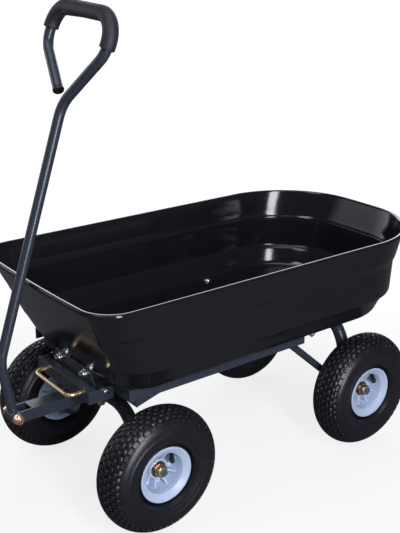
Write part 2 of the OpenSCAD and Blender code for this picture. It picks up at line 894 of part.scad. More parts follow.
// Channel open downward, welded over the front hoop's crown, with a clevis for the handle
module tongue() {
  placed() color(steel)
    difference() {
      union() {
        translate([tongue_rear, -tongue_w / 2, tongue_top - plate_t])
          cube([pivot_x - web_cut - tongue_rear, tongue_w, plate_t]);
        both_sides()
          translate([0, tongue_w / 2, 0]) along()
            linear_extrude(height = plate_t) {
              polygon([
                [tongue_rear, tongue_low], [pivot_x, pivot_z - pivot_drop],
                [pivot_x, pivot_z + pivot_drop], [tongue_rear, tongue_top]
              ]);
              translate([pivot_x, pivot_z]) circle(r = pivot_drop);
            }
      }
      translate([king_x, 0, front_crown_z]) bar_y(hoop_d + 2 * weld_gap, -tongue_w, tongue_w);
      translate([king_x, 0, front_crown_z]) cylinder(d = king_d + 2 * run_gap, h = 2 * hoop_d);
      translate([pivot_x, 0, pivot_z]) bar_y(m12_d + 2 * run_gap, -tongue_w, tongue_w);
    }
}

// Hexagon bolt through the clevis and the handle's bush
module tongue_bolt() {
  grip_half = tongue_w / 2 + washer_t;
  placed() color(yellow_zinc)
    translate([pivot_x, 0, pivot_z]) {
      bar_y(m12_d, -grip_half, grip_half + m12_h + bolt_tail);
      translate([0, -grip_half, 0]) rotate([90, 0, 0]) hexagon(m12_flats, m12_h);
    }
}

module tongue_nut() {
  placed() color(yellow_zinc)
    translate([pivot_x, 0, pivot_z]) {
      both_sides()
        translate([0, tongue_w / 2, 0]) rotate([-90, 0, 0]) washer(m12_d, washer_t);
      translate([0, tongue_w / 2 + washer_t, 0]) rotate([-90, 0, 0]) lock_nut(m12_flats, m12_d, m12_h);
    }
}

module front_stub_axles() {
  stub_axles(king_x, front_leg_y);
}

module front_axle_nuts() {
  axle_nuts(king_x);
}

// Lays a flat drawing in the plane of the handle's loop, with its origin at the loop's foot
module in_loop() {
  translate([apex_x, 0, apex_z]) rotate([0, -upper_lean, 0]) across() children();
}

tail_dir = [-sin(loop_angle), cos(loop_angle)];

// One tube: bent stem, then a closed triangular loop that ends beside the stem
module handle_tube() {
  stem_dir = [-sin(upper_lean), cos(upper_lean)];
  stem_top = apex_r * tan(loop_angle / 2) - bend_lap;
  placed() color(steel)
    difference() {
      union() {
        along()
          bent_tube([[pivot_x, pivot_z], [handle_x, handle_z], [apex_x, apex_z] - stem_top * stem_dir],
            [handle_bend_r], handle_d);
        in_loop()
          bent_tube([[0, -loop_h], [0, 0], [loop_half, loop_h], [-loop_half, loop_h], loop_end * tail_dir],
            [apex_r, loop_r, loop_r], handle_d, 1);
      }
      translate([pivot_x, 0, pivot_z]) bar_y(bush_d + 2 * weld_gap, -bush_d, bush_d);
    }
}

// Cross bush at the foot of the handle, turning on the clevis bolt
module handle_bush() {
  half = clevis_gap / 2 - seat_gap;
  placed() color(steel)
    translate([pivot_x, 0, pivot_z])
      difference() {
        bar_y(bush_d, -half, half);
        bar_y(m12_d + 2 * run_gap, -half - over, half + over);
      }
}

// The stretch of the loop that the grip covers, at a given diameter, and swept a little further if asked
module grip_run(d, further) {
  half = loop_flat + bend_lap;
  translate([-half, loop_h]) rotate([0, 90, 0]) cylinder(d = d, h = 2 * half);
  for (side = [0, 1]) {
    sweep = grip_sweeps[side] + further;
    mirror([side, 0, 0]) translate([loop_flat, loop_h - loop_r]) rotate([0, 0, 90 - sweep])
      rotate_extrude(angle = sweep) translate([loop_r, 0]) circle(d = d + 2 * bend_swell);
  }
}

module handle_grip() {
  placed() color(rubber) in_loop()
    difference() {
      grip_run(grip_d, 0);
      grip_run(handle_d + 2 * weld_gap, grip_over);
    }
}

// Cup-shaped cap on the open end of the handle tube
module handle_end_cap() {
  placed() color(black_plastic) in_loop()
    translate(loop_end * tail_dir) rotate([0, 0, 90 + loop_angle]) rotate([0, 90, 0])
      difference() {
        translate([0, 0, -cap_t]) cylinder(d = handle_d + 2 * cap_wall, h = cap_l);
        cylinder(d = handle_d + 2 * weld_gap, h = cap_l);
      }
}

// Wheels, drawn about Z with the outboard face up

// Stands a wheel piece at its axle, outboard on the given side
module at_wheel(x, side) {
  placed() on_side(side) translate([x, track / 2, axle_z]) rotate([-90, 0, 0]) children();
}

// A point of the tyre's section at an angle from its crown and a depth below its surface
function on_section(angle, depth) =
  [section_c + (section_r - depth) * cos(angle), (section_r - depth) * sin(angle)];

// Half of the tread's outline from the crown to the sidewall, on the given face
function tread_half(face) = [
  for (p = [
    [groove_1[0], 0], [groove_1[0], tread_depth], [groove_1[1], tread_depth], [groove_1[1], 0],
    [groove_2[0], 0], [groove_2[0], tread_depth], [groove_2[1], tread_depth], [groove_2[1], 0],
    [tread_edge, 0]
  ]) on_section(face * p[0], p[1])
];

// Pneumatic tyre: round sidewalls and a tread of ribs, slotted into blocks
module tyre(x, side) {
  bead = rim_d / 2 + weld_gap;
  flank = flange_half - weld_gap;
  left = tread_half(1);
  right = tread_half(-1);
  last = len(right) - 1;
  crown_slot = section_r * sin((groove_2[0] + groove_2[1]) / 2);
  at_wheel(x, side) color(rubber)
    difference() {
      rotate_extrude()
        difference() {
          union() {
            intersection() {
              translate([section_c, 0]) circle(r = section_r);
              translate([0, -tyre_w]) square([on_section(tread_edge, 0)[0], 2 * tyre_w]);
            }
            polygon(concat([on_section(0, 0)], left, [for (i = [last : -1 : 0]) right[i]]));
          }
          translate([section_c, 0]) circle(r = section_r - casing_t - tread_depth);
          polygon([
            [0, -tyre_w], [bead, -tyre_w], [bead, -flank], [seat_r + weld_gap, weld_gap - seat_half],
            [seat_r + weld_gap, seat_half - weld_gap], [bead, flank], [bead, tyre_w], [0, tyre_w]
          ]);
        }
      translate([0, 0, -crown_slot])
        linear_extrude(height = 2 * crown_slot) slot_ring(wheel_r - tread_depth, slot_turn_share);
      for (low = [crown_slot, -section_r]) {
        translate([0, 0, low])
          linear_extrude(height = section_r - crown_slot) slot_ring(wheel_r - shoulder_depth, 0);
      }
    }
}

// A ring of slot outlines that reach outward from a radius, turned by a share of their pitch
module slot_ring(floor_r, turn_share) {
  for (i = [0 : tread_blocks - 1]) {
    rotate((i + turn_share) * 360 / tread_blocks)
      translate([floor_r, -tread_groove / 2]) square([wheel_r - floor_r + over, tread_groove]);
  }
}

// Moulded rim: flanged barrel, web, hub and radial ribs on both faces
module rim(x, side) {
  hub_top = hub_out;
  hub_low = hub_out - hub_l;
  at_wheel(x, side) color(rim_blue)
    difference() {
      union() {
        rotate_extrude()
          polygon([
            [barrel_r, -rim_w / 2], [rim_d / 2, -rim_w / 2], [rim_d / 2, -flange_half], [seat_r, -seat_half],
            [seat_r, seat_half], [rim_d / 2, flange_half], [rim_d / 2, rim_w / 2],
            [rim_d / 2 - dish_lip, rim_w / 2], [dish_r, rim_w / 2 - dish_drop], [dish_r - dish_draft, web_h],
            [barrel_r, web_h]
          ]);
        translate([0, 0, web_h - web_t / 2]) cylinder(r = barrel_r + rim_t / 2, h = web_t);
        translate([0, 0, hub_low]) cylinder(r = hub_r, h = hub_l);
        for (i = [0 : rim_ribs - 1]) {
          rotate([0, 0, (i + rib_turn_share) * 360 / rim_ribs]) along()
            linear_extrude(height = rib_t, center = true)
              polygon([
                [hub_r - hub_wall / 2, web_h], [hub_r - hub_wall / 2, hub_top - rib_hub_drop],
                [barrel_r + rim_t / 2, rim_w / 2 - rib_drop], [barrel_r + rim_t / 2, rib_drop - rim_w / 2],
                [hub_r - hub_wall / 2, hub_low + rib_hub_drop]
              ]);
        }
      }
      translate([0, 0, hub_low - over]) cylinder(d = axle_d + 2 * axle_bore_gap, h = hub_l + 2 * over);
      translate([0, 0, hub_top - bearing_w]) cylinder(d = bearing_d, h = bearing_w + over);
      translate([0, 0, hub_low - over]) cylinder(d = bearing_d, h = bearing_w + over);
      valve_place() translate([0, 0, -valve_root - over]) cylinder(d = valve_d + 2 * weld_gap, h = valve_l);
    }
}

// Two ball bearings in the ends of the hub
module bearings(x, side) {
  at_wheel(x, side) color(zinc)
    for (low = [hub_out - bearing_w, hub_out - hub_l]) {
      translate([0, 0, low])
        difference() {
          cylinder(d = bearing_d - 2 * run_gap, h = bearing_w);
          translate([0, 0, -over]) cylinder(d = axle_d + 2 * run_gap, h = bearing_w + 2 * over);
        }
    }
}

// Sets a shape in the rim's barrel between two ribs, leaning outboard and towards the hub
module valve_place() {
  rotate([0, 0, valve_turn_share * 360 / rim_ribs])
    translate([valve_seat_r, 0, valve_h]) rotate([0, -valve_lean, 0]) children();
}

// Valve stem and cap
module valve(x, side) {
  at_wheel(x, side) color(rubber)
    valve_place() {
      translate([0, 0, -valve_root]) cylinder(d = valve_d, h = valve_l + valve_root);
      translate([0, 0, valve_l - valve_cap_l]) cylinder(d = valve_cap_d, h = valve_cap_l);
    }
}

tub();
tub_cross_strap();
tub_carriage_bolts();
tub_hanger();
catch_plate();
catch_bolts();
hinge_strap(1);  // hinge_strap_left
hinge_strap(-1);  // hinge_strap_right
side_rail(1);  // side_rail_left
side_rail(-1);  // side_rail_right
front_bolster();
rear_crossbar();
hoop_stay(1);  // hoop_stay_left
hoop_stay(-1);  // hoop_stay_right
rear_hoop();
brace(1);  // brace_left
brace(-1);  // brace_right
rear_stub_axles();
rear_axle_nuts();
king_boss();
king_pin();
king_nut();
latch_channel();
latch_bolts();
bail();
bail_collars();
bail_springs();
front_hoop();
tongue();
tongue_bolt();
tongue_nut();
front_stub_axles();
front_axle_nuts();
handle_tube();
handle_bush();
handle_grip();
handle_end_cap();
tyre(king_x, 1);  // front_left_tyre
rim(king_x, 1);  // front_left_rim
bearings(king_x, 1);  // front_left_bearings
valve(king_x, 1);  // front_left_valve
tyre(king_x, -1);  // front_right_tyre
rim(king_x, -1);  // front_right_rim
bearings(king_x, -1);  // front_right_bearings
valve(king_x, -1);  // front_right_valve
tyre(0, 1);  // rear_left_tyre
rim(0, 1);  // rear_left_rim
bearings(0, 1);  // rear_left_bearings
valve(0, 1);  // rear_left_valve
tyre(0, -1);  // rear_right_tyre
rim(0, -1);  // rear_right_rim
bearings(0, -1);  // rear_right_bearings
valve(0, -1);  // rear_right_valve
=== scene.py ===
"""Looks of a tipping dump cart: tub, chassis, steered axle, pull handle, latch and wheels.

Sizes are in millimetres from the rear axle's station, and are turned to metres in the row frame
when a mesh is finished.
"""

import logging
import math
from dataclasses import dataclass
from enum import Enum
from typing import Callable, Iterable, Sequence

import bmesh
import bpy
from mathutils import Matrix, Vector


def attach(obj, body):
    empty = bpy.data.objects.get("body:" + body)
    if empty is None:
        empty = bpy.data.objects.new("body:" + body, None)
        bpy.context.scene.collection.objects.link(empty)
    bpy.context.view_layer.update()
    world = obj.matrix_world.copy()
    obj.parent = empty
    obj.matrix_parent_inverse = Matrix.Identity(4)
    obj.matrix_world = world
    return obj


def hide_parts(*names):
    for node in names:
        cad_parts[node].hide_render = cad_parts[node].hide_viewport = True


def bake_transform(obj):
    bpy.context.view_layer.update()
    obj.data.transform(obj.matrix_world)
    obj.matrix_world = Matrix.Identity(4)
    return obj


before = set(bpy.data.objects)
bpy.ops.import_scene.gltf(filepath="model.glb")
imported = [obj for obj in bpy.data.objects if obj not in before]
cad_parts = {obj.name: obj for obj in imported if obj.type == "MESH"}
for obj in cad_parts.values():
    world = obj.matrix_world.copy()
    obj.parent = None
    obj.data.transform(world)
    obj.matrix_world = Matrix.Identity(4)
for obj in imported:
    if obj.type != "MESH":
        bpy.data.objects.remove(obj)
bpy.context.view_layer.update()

Mesh = bmesh.types.BMesh
Piece = bpy.types.Object
Socket = bpy.types.NodeSocket

LOG = logging.getLogger("cart")
MM = 0.001
MIDDLE = 293.71674816305153
TO_ROW = Matrix.Diagonal((MM, MM, MM, 1.0)) @ Matrix.Translation((-MIDDLE, 0.0, 0.0))
SMOOTH_ANGLE = math.radians(38.0)
OUTBOARD = Matrix.Rotation(-math.pi / 2, 4, "X")
MIRROR = Matrix.Diagonal((1.0, -1.0, 1.0, 1.0))


class Place(Enum):
    """A place on the cart that the nodes' names spell."""

    @property
    def word(self) -> str:
        """The place's name as the nodes spell it."""
        return self.name.lower()


class Side(Place):
    """A side of the cart, with its sign along Y."""

    LEFT = 1
    RIGHT = -1


class End(Place):
    """An end of the cart, with the station of its axle."""

    FRONT = 559.0
    REAR = 0.0


# Shader building


class Shader:
    """A material or group tree under construction, with short calls to add nodes."""

    def __init__(self, tree: bpy.types.NodeTree) -> None:
        """Keeps the tree that the calls add to.

        Args:
            tree: The node tree of a material or a group.
        """
        self.tree = tree

    @classmethod
    def of(cls, owner: bpy.types.ID) -> "Shader":
        """Empties the node tree of a material, a light or a world, and starts in it."""
        owner.use_nodes = True
        owner.node_tree.nodes.clear()
        return cls(owner.node_tree)

    def add(self, kind: str, values: dict | None = None, **settings: object) -> bpy.types.Node:
        """Adds a node.

        Args:
            kind: The node's type name without its ShaderNode prefix.
            values: Input socket names or numbers, with a number, a colour or an output socket each.
            settings: Properties of the node.

        Returns:
            The new node.
        """
        made = self.tree.nodes.new("ShaderNode" + kind)
        for name, value in settings.items():
            setattr(made, name, value)
        for name, value in (values or {}).items():
            self.feed(made.inputs[name], value)
        return made

    def group(self, tree: bpy.types.NodeTree, values: dict) -> bpy.types.Node:
        """Places a shared group with its own values, and returns its node."""
        made = self.add("Group", node_tree=tree)
        for name, value in values.items():
            made.inputs[name].default_value = value
        return made

    def feed(self, socket: Socket, value: object) -> None:
        """Sets a socket's value, or links it when the value is another socket."""
        if isinstance(value, Socket):
            self.tree.links.new(value, socket)
        else:
            socket.default_value = value

    def math(self, operation: str, a: object, b: object = 0.0) -> Socket:
        """Adds a Math node and returns its output."""
        return self.add("Math", {0: a, 1: b}, operation=operation).outputs[0]

    def ramp(self, value: object, low: float, high: float, out_low: float = 0.0,
             out_high: float = 1.0) -> Socket:
        """Adds a clamped Map Range.

        Args:
            value: The socket to map.
            low: Input that gives out_low.
            high: Input that gives out_high.
            out_low: Output at the low end.
            out_high: Output at the high end.

        Returns:
            The mapped value.
        """
        keys = {"Value": value, "From Min": low, "From Max": high, "To Min": out_low, "To Max": out_high}
        return self.add("MapRange", keys).outputs["Result"]

    def blend(self, share: object, a: object, b: object) -> Socket:
        """Adds a colour mix of a and b and returns its result."""
        made = self.add("Mix", data_type="RGBA")
        self.feed(made.inputs["Factor"], share)
        self.feed(made.inputs["A"], a)
        self.feed(made.inputs["B"], b)
        return made.outputs["Result"]

    def noise(self, where: object, scale: object, detail: float = 3.0) -> Socket:
        """Adds a noise texture and returns its value."""
        keys = {"Vector": where, "Scale": scale, "Detail": detail, "Roughness": 0.55}
        return self.add("TexNoise", keys).outputs["Fac"]

    def place(self) -> Socket:
        """The point's place on its own piece."""
        return self.add("TexCoord").outputs["Object"]

    def in_view(self) -> Socket:
        """One where the camera looks straight at a point, and zero in reflections and for light."""
        rays = self.add("LightPath").outputs
        return self.math("MAXIMUM", rays["Is Camera Ray"], rays["Is Transmission Ray"])


class SharedEffects:
    """Shader node groups that several finishes place with their own values."""

    def __init__(self) -> None:
        """Builds every group once."""
        self.grain = self._grain()
        self.scuffs = self._scuffs()
        self.dust = self._dust()

    @staticmethod
    def _new(name: str, inputs: Sequence[tuple[str, float]],
             outputs: Sequence[str]) -> tuple[Shader, bpy.types.Node, bpy.types.Node]:
        """Starts a group.

        Args:
            name: The group's name.
            inputs: Names and default values of its number inputs.
            outputs: Names of its number outputs.

        Returns:
            The group's shader, its input node and its output node.
        """
        tree = bpy.data.node_groups.new(name, "ShaderNodeTree")
        for label, value in inputs:
            socket = tree.interface.new_socket(label, in_out="INPUT", socket_type="NodeSocketFloat")
            socket.default_value = value
        for label in outputs:
            tree.interface.new_socket(label, in_out="OUTPUT", socket_type="NodeSocketFloat")
        return Shader(tree), tree.nodes.new("NodeGroupInput"), tree.nodes.new("NodeGroupOutput")

    def _grain(self) -> bpy.types.NodeTree:
        """A height of fine grain over broad waviness, for moulded and sprayed surfaces."""
        inputs = [("Fine Scale", 700.0), ("Wave Scale", 14.0), ("Wave Share", 0.5)]
        shader, source, result = self._new("surface_grain", inputs, ["Height", "Fine"])
        where = shader.place()
        fine = shader.noise(where, source.outputs["Fine Scale"], 2.0)
        wave = shader.noise(where, source.outputs["Wave Scale"], 1.0)
        raised = shader.math("MULTIPLY", wave, source.outputs["Wave Share"])
        shader.feed(result.inputs["Height"], shader.math("ADD", fine, raised))
        shader.feed(result.inputs["Fine"], fine)
        return shader.tree

    def _scuffs(self) -> bpy.types.NodeTree:
        """A mask of short faint rub marks gathered in patches."""
        inputs = [("Scale", 30.0), ("Cover", 0.3)]
        shader, source, result = self._new("rub_marks", inputs, ["Mask"])
        where = shader.place()
        patch = shader.noise(where, 6.0, 2.0)
        stretch = {"Vector": where, "Rotation": (0.5, 0.8, 0.3), "Scale": (1.0, 7.0, 3.0)}
        turned = shader.add("Mapping", stretch)
        lines = shader.noise(turned.outputs["Vector"], source.outputs["Scale"], 5.0)
        marks = shader.ramp(lines, 0.62, 0.74)
        gathered = shader.ramp(patch, 0.48, 0.7)
        masked = shader.math("MULTIPLY", marks, gathered)
        shader.feed(result.inputs["Mask"], shader.math("MULTIPLY", masked, source.outputs["Cover"]))
        return shader.tree

    def _dust(self) -> bpy.types.NodeTree:
        """A mask of dust that lies on faces turned upward."""
        inputs = [("Scale", 25.0), ("Cover", 0.2)]
        shader, source, result = self._new("settled_dust", inputs, ["Mask"])
        where = shader.place()
        up = shader.add("SeparateXYZ", {0: shader.add("NewGeometry").outputs["Normal"]}).outputs["Z"]
        facing = shader.ramp(up, 0.2, 1.0)
        cloud = shader.ramp(shader.noise(where, source.outputs["Scale"], 6.0), 0.35, 0.75)
        masked = shader.math("MULTIPLY", facing, cloud)
        shader.feed(result.inputs["Mask"], shader.math("MULTIPLY", masked, source.outputs["Cover"]))
        return shader.tree


@dataclass(frozen=True)
class Finish:
    """A surface finish that makes one material.

    Attributes:
        name: The material's name.
        slot: The record's material slot.
        colour: Linear base colour.
        second: Colour that patches drift towards.
        drift: Share of the second colour at its strongest.
        rub: Colour of rub marks.
        cover: Strength of rub marks.
        dust: Strength of settled dust.
        metallic: Metal share.
        rough: Lowest and highest roughness.
        fine: Scale of the fine grain, per metre.
        wave: Scale of the broad waviness, per metre.
        wave_share: Height of the waviness against the grain.
        bump: Strength of the bump.
        depth: Height of the bump, in metres.
        specular: Specular level.
    """

    name: str
    slot: str
    colour: tuple[float, float, float]
    second: tuple[float, float, float]
    drift: float = 0.5
    rub: tuple[float, float, float] = (0.2, 0.2, 0.2)
    cover: float = 0.0
    dust: float = 0.0
    metallic: float = 0.0
    rough: tuple[float, float] = (0.3, 0.45)
    fine: float = 700.0
    wave: float = 14.0
    wave_share: float = 0.5
    bump: float = 0.15
    depth: float = 0.0004
    specular: float = 0.5

    DUST_COLOUR = (0.30, 0.29, 0.27)
    DUST_ROUGHNESS = 0.5
    RUB_ROUGHNESS = 0.4

    def material(self, effects: SharedEffects) -> bpy.types.Material:
        """Builds the finish's material.

        Args:
            effects: The shared shader groups.

        Returns:
            The new material.
        """
        made = bpy.data.materials.new(self.name)
        made.diffuse_color = (*self.colour, 1.0)
        shader = Shader.of(made)
        where = shader.place()
        grain = shader.group(effects.grain, {
            "Fine Scale": self.fine, "Wave Scale": self.wave, "Wave Share": self.wave_share,
        })
        cloud = shader.noise(where, self.wave * 1.7, 4.0)
        share = shader.ramp(cloud, 0.3, 0.72, 0.0, self.drift)
        colour = shader.blend(share, (*self.colour, 1.0), (*self.second, 1.0))
        rough = shader.ramp(cloud, 0.25, 0.75, self.rough[0], self.rough[1])
        if self.cover > 0.0:
            marks = shader.group(effects.scuffs, {"Cover": self.cover}).outputs["Mask"]
            colour = shader.blend(marks, colour, (*self.rub, 1.0))
            rough = shader.math("ADD", rough, shader.math("MULTIPLY", marks, self.RUB_ROUGHNESS))
        if self.dust > 0.0:
            settled = shader.group(effects.dust, {"Cover": self.dust}).outputs["Mask"]
            colour = shader.blend(settled, colour, (*self.DUST_COLOUR, 1.0))
            rough = shader.math("ADD", rough, shader.math("MULTIPLY", settled, self.DUST_ROUGHNESS))
        relief = {"Strength": self.bump, "Distance": self.depth, "Height": grain.outputs["Height"]}
        bump = shader.add("Bump", relief)
        surface = shader.add("BsdfPrincipled", {
            "Base Color": colour, "Roughness": rough, "Metallic": self.metallic,
            "Normal": bump.outputs["Normal"], "Specular IOR Level": self.specular,
        })
        shader.add("OutputMaterial", {"Surface": surface.outputs["BSDF"]})
        return made


class Palette:
    """Every finish on the cart, and the materials made from them."""

    PLATE = {"fine": 1500.0, "bump": 0.1, "depth": 0.0001}
    FINISHES = {
        "tub": Finish("moulded_black_tub", "tub_plastic", (0.0088, 0.0086, 0.0118), (0.0118, 0.0115, 0.0150),
                      rub=(0.05, 0.05, 0.06), cover=0.06, dust=0.006, rough=(0.08, 0.13), fine=900.0,
                      wave=9.0, wave_share=2.2, bump=0.07, depth=0.0005),
        "steel": Finish("slate_powder_coat", "powder_coated_steel", (0.031, 0.037, 0.053),
                        (0.037, 0.044, 0.060), rub=(0.12, 0.13, 0.14), cover=0.14, dust=0.03,
                        rough=(0.22, 0.34), fine=1100.0, wave=60.0, bump=0.22, depth=0.0003),
        "zinc": Finish("bright_zinc_plate", "zinc_steel", (0.66, 0.66, 0.64), (0.50, 0.51, 0.52),
                       metallic=1.0, rough=(0.18, 0.36), fine=1500.0, wave=120.0, bump=0.12, depth=0.0001),
        "yellow_zinc": Finish("yellow_zinc_plate", "yellow_zinc_steel", (0.56, 0.37, 0.19),
                              (0.46, 0.27, 0.15), drift=0.7, metallic=1.0, rough=(0.20, 0.36), wave=70.0,
                              **PLATE),
        "gold": Finish("pale_gold_zinc_plate", "yellow_zinc_steel", (0.97, 0.74, 0.42), (0.94, 0.66, 0.36),
                       drift=0.6, metallic=0.9, rough=(0.24, 0.38), wave=70.0, **PLATE),
        "copper": Finish("rosy_zinc_plate", "yellow_zinc_steel", (0.90, 0.62, 0.46), (0.84, 0.52, 0.38),
                         drift=0.6, metallic=0.9, rough=(0.22, 0.36), wave=90.0, **PLATE),
        "spring": Finish("drawn_spring_wire", "spring_steel", (0.55, 0.55, 0.54), (0.40, 0.40, 0.40),
                         metallic=1.0, rough=(0.22, 0.38), fine=2200.0, wave=300.0, bump=0.1, depth=0.00005),
        "tyre": Finish("black_tyre_rubber", "tyre_rubber", (0.0102, 0.0098, 0.0142), (0.0140, 0.0135, 0.0185),
                       rub=(0.05, 0.05, 0.055), cover=0.12, dust=0.02, rough=(0.26, 0.38), fine=1300.0,
                       wave=40.0, wave_share=0.7, bump=0.35, specular=0.45),
        "rim": Finish("pale_blue_rim", "rim_plastic", (0.50, 0.58, 0.75), (0.45, 0.53, 0.70),
                      rub=(0.36, 0.42, 0.54), cover=0.10, dust=0.02, rough=(0.30, 0.42), fine=900.0,
                      wave=45.0, bump=0.1, depth=0.0003),
        "grip": Finish("black_foam_grip", "grip_rubber", (0.0165, 0.0165, 0.0225), (0.024, 0.024, 0.031),
                       rough=(0.48, 0.64), fine=1700.0, wave=130.0, wave_share=0.8, bump=0.5, depth=0.0006),
        "cap": Finish("black_end_cap", "cap_plastic", (0.014, 0.014, 0.015), (0.02, 0.02, 0.021),
                      rough=(0.35, 0.5), fine=1300.0, wave=90.0, depth=0.0003),
        "valve": Finish("black_valve_rubber", "tyre_rubber", (0.010, 0.010, 0.011), (0.016, 0.016, 0.017),
                        rough=(0.35, 0.5), fine=1500.0, wave=120.0, bump=0.2, depth=0.0003),
        "insert": Finish("nylon_insert", "yellow_zinc_steel", (0.55, 0.50, 0.42), (0.45, 0.42, 0.36),
                         rough=(0.4, 0.5), wave=150.0, **PLATE),
        "seal": Finish("bearing_seal", "zinc_steel", (0.03, 0.03, 0.032), (0.045, 0.045, 0.046),
                       rough=(0.45, 0.55), wave=150.0, **PLATE),
    }

    def __init__(self) -> None:
        """Makes every material."""
        effects = SharedEffects()
        self.made = {key: finish.material(effects) for key, finish in self.FINISHES.items()}

    def slot(self, key: str) -> str:
        """The record's slot of a finish."""
        return self.FINISHES[key].slot


# Mesh building


def placed(name: str, data: bpy.types.ID) -> Piece:
    """Makes an object of a mesh, a light or a camera and links it to the scene."""
    made = bpy.data.objects.new(name, data)
    bpy.context.scene.collection.objects.link(made)
    return made


def wheel_matrix(end: End, side: Side, track: float = 407.0, axle_z: float = 130.0) -> Matrix:
    """Stands a shape drawn about Z, outboard up, at a wheel's centre.

    Args:
        end: Front or rear axle.
        side: Left or right of the cart.
        track: Distance between wheel planes.
        axle_z: Height of the axles.

    Returns:
        The placing matrix, still in millimetres.
    """
    flip = Matrix.Diagonal((1.0, float(side.value), 1.0, 1.0))
    return flip @ Matrix.Translation((end.value, track / 2, axle_z)) @ OUTBOARD


def edges_at(verts: Iterable[bmesh.types.BMVert]) -> list[bmesh.types.BMEdge]:
    """Every edge that meets one of the vertices."""
    return list({e for v in verts for e in v.link_edges})


def round_edges(bm: Mesh, verts: Iterable[bmesh.types.BMVert], width: float, segments: int) -> None:
    """Rounds every edge that meets one of the vertices."""
    bmesh.ops.bevel(bm, geom=edges_at(verts), offset=width, offset_type="OFFSET", affect="EDGES",
                    segments=segments, profile=0.5, material=-1, clamp_overlap=True)


def lathe(bm: Mesh, outline: Sequence[tuple[float, float]], steps: int, number: int = 0,
          closed: bool = True) -> None:
    """Spins an outline of radius and height about Z.

    Args:
        bm: The mesh to add to.
        outline: Points of radius and height.
        steps: Steps of the full turn.
        number: Material number of the new faces.
        closed: Whether the last point joins the first.
    """
    old_faces = set(bm.faces)
    points = [bm.verts.new((r, 0.0, h)) for r, h in outline]
    pairs = list(zip(points, points[1:]))
    if closed:
        pairs.append((points[-1], points[0]))
    edges = [bm.edges.new(pair) for pair in pairs]
    bmesh.ops.spin(bm, geom=points + edges, cent=(0, 0, 0), axis=(0, 0, 1), angle=math.tau, steps=steps,
                   use_merge=True, use_duplicate=False)
    for made in set(bm.faces) - old_faces:
        made.material_index = number


def rounded(outline: Sequence[tuple[float, float, float]], steps: int = 4) -> list[tuple[float, float]]:
    """Rounds the corners of a closed outline.

    Args:
        outline: Points of radius and height, each with its corner radius.
        steps: Steps in a rounded corner.

    Returns:
        The outline with its corners replaced by arcs.
    """
    made: list[tuple[float, float]] = []
    count = len(outline)
    for i, (x, y, radius) in enumerate(outline):
        here = Vector((x, y))
        before = Vector(outline[i - 1][:2]) - here
        after = Vector(outline[(i + 1) % count][:2]) - here
        if radius <= 0.0:
            made.append((x, y))
            continue
        half = before.angle(after) / 2
        reach = min(radius / math.tan(half), 0.48 * before.length, 0.48 * after.length)
        start = here + before.normalized() * reach
        stop = here + after.normalized() * reach
        for k in range(steps + 1):
            t = k / steps
            point = start.lerp(here, t).lerp(here.lerp(stop, t), t)
            made.append((point.x, point.y))
    return made


def bevelled_block(bm: Mesh, size: tuple[float, float, float], placing: Matrix, width: float,
                   segments: int = 1) -> None:
    """Adds a block with rounded edges.

    Args:
        bm: The mesh to add to.
        size: Its three sizes.
        placing: Where it stands.
        width: Width of the rounded edges.
        segments: Segments across an edge.
    """
    cube = bmesh.ops.create_cube(bm, size=1.0, matrix=placing @ Matrix.Diagonal((*size, 1.0)))
    round_edges(bm, cube["verts"], width, segments)


class TubeBender:
    """Draws a round tube as a bender does, with straight runs and bends."""

    def __init__(self, start: Vector, heading: Vector, radius: float, sides: int = 28) -> None:
        """Starts with a ring across the heading.

        Args:
            start: Centre of the first ring.
            heading: Direction of the tube.
            radius: Radius of the tube.
            sides: Corners of the ring.
        """
        self.bm = bmesh.new()
        self.centre = start.copy()
        self.heading = heading.normalized()
        turn = self.heading.to_track_quat("Z", "X").to_matrix().to_4x4()
        ring = bmesh.ops.create_circle(self.bm, segments=sides, radius=radius, cap_ends=False,
                                       matrix=Matrix.Translation(start) @ turn)
        self.ring = edges_at(ring["verts"])

    def _verts(self) -> list[bmesh.types.BMVert]:
        """Vertices of the ring in hand."""
        return list({v for e in self.ring for v in e.verts})

    def run(self, length: float, grow: float = 1.0) -> None:
        """Adds a straight run.

        Args:
            length: Its length.
            grow: Scale of the ring at its end.
        """
        grown = bmesh.ops.extrude_edge_only(self.bm, edges=self.ring)["geom"]
        self.ring = [g for g in grown if isinstance(g, bmesh.types.BMEdge)]
        self.centre = self.centre + self.heading * length
        bmesh.ops.translate(self.bm, verts=self._verts(), vec=self.heading * length)
        if grow != 1.0:
            about = Matrix.Translation(-self.centre)
            bmesh.ops.scale(self.bm, verts=self._verts(), vec=(grow,) * 3, space=about)

    def taper(self, lengths: Sequence[float], radii: Sequence[float]) -> None:
        """Adds straight runs from each radius to the next.

        Args:
            lengths: Length of each run.
            radii: Radius at the start, then at the end of each run.
        """
        for length, before, after in zip(lengths, radii, radii[1:]):
            self.run(length, after / before)

    def bend(self, target: Vector, radius: float, angle: float, steps: int = 0) -> None:
        """Adds a bend towards a direction.

        Args:
            target: Direction that the tube turns towards.
            radius: Bend radius.
            angle: Angle of the bend in radians.
            steps: Steps of the bend, or zero for one every five degrees.
        """
        axis = self.heading.cross(target).normalized()
        inward = axis.cross(self.heading).normalized()
        pivot = self.centre + inward * radius
        count = steps or max(3, math.ceil(math.degrees(angle) / 5))
        spun = bmesh.ops.spin(self.bm, geom=self.ring + self._verts(), cent=pivot, axis=axis, angle=angle,
                              steps=count, use_duplicate=False)
        self.ring = [g for g in spun["geom_last"] if isinstance(g, bmesh.types.BMEdge)]
        turn = Matrix.Rotation(angle, 3, axis)
        self.centre = pivot + turn @ (self.centre - pivot)
        self.heading = (turn @ self.heading).normalized()

    def close(self) -> Mesh:
        """Caps the open rings and returns the mesh."""
        border = [e for e in self.bm.edges if e.is_boundary]
        bmesh.ops.holes_fill(self.bm, edges=border, sides=0)
        return self.bm


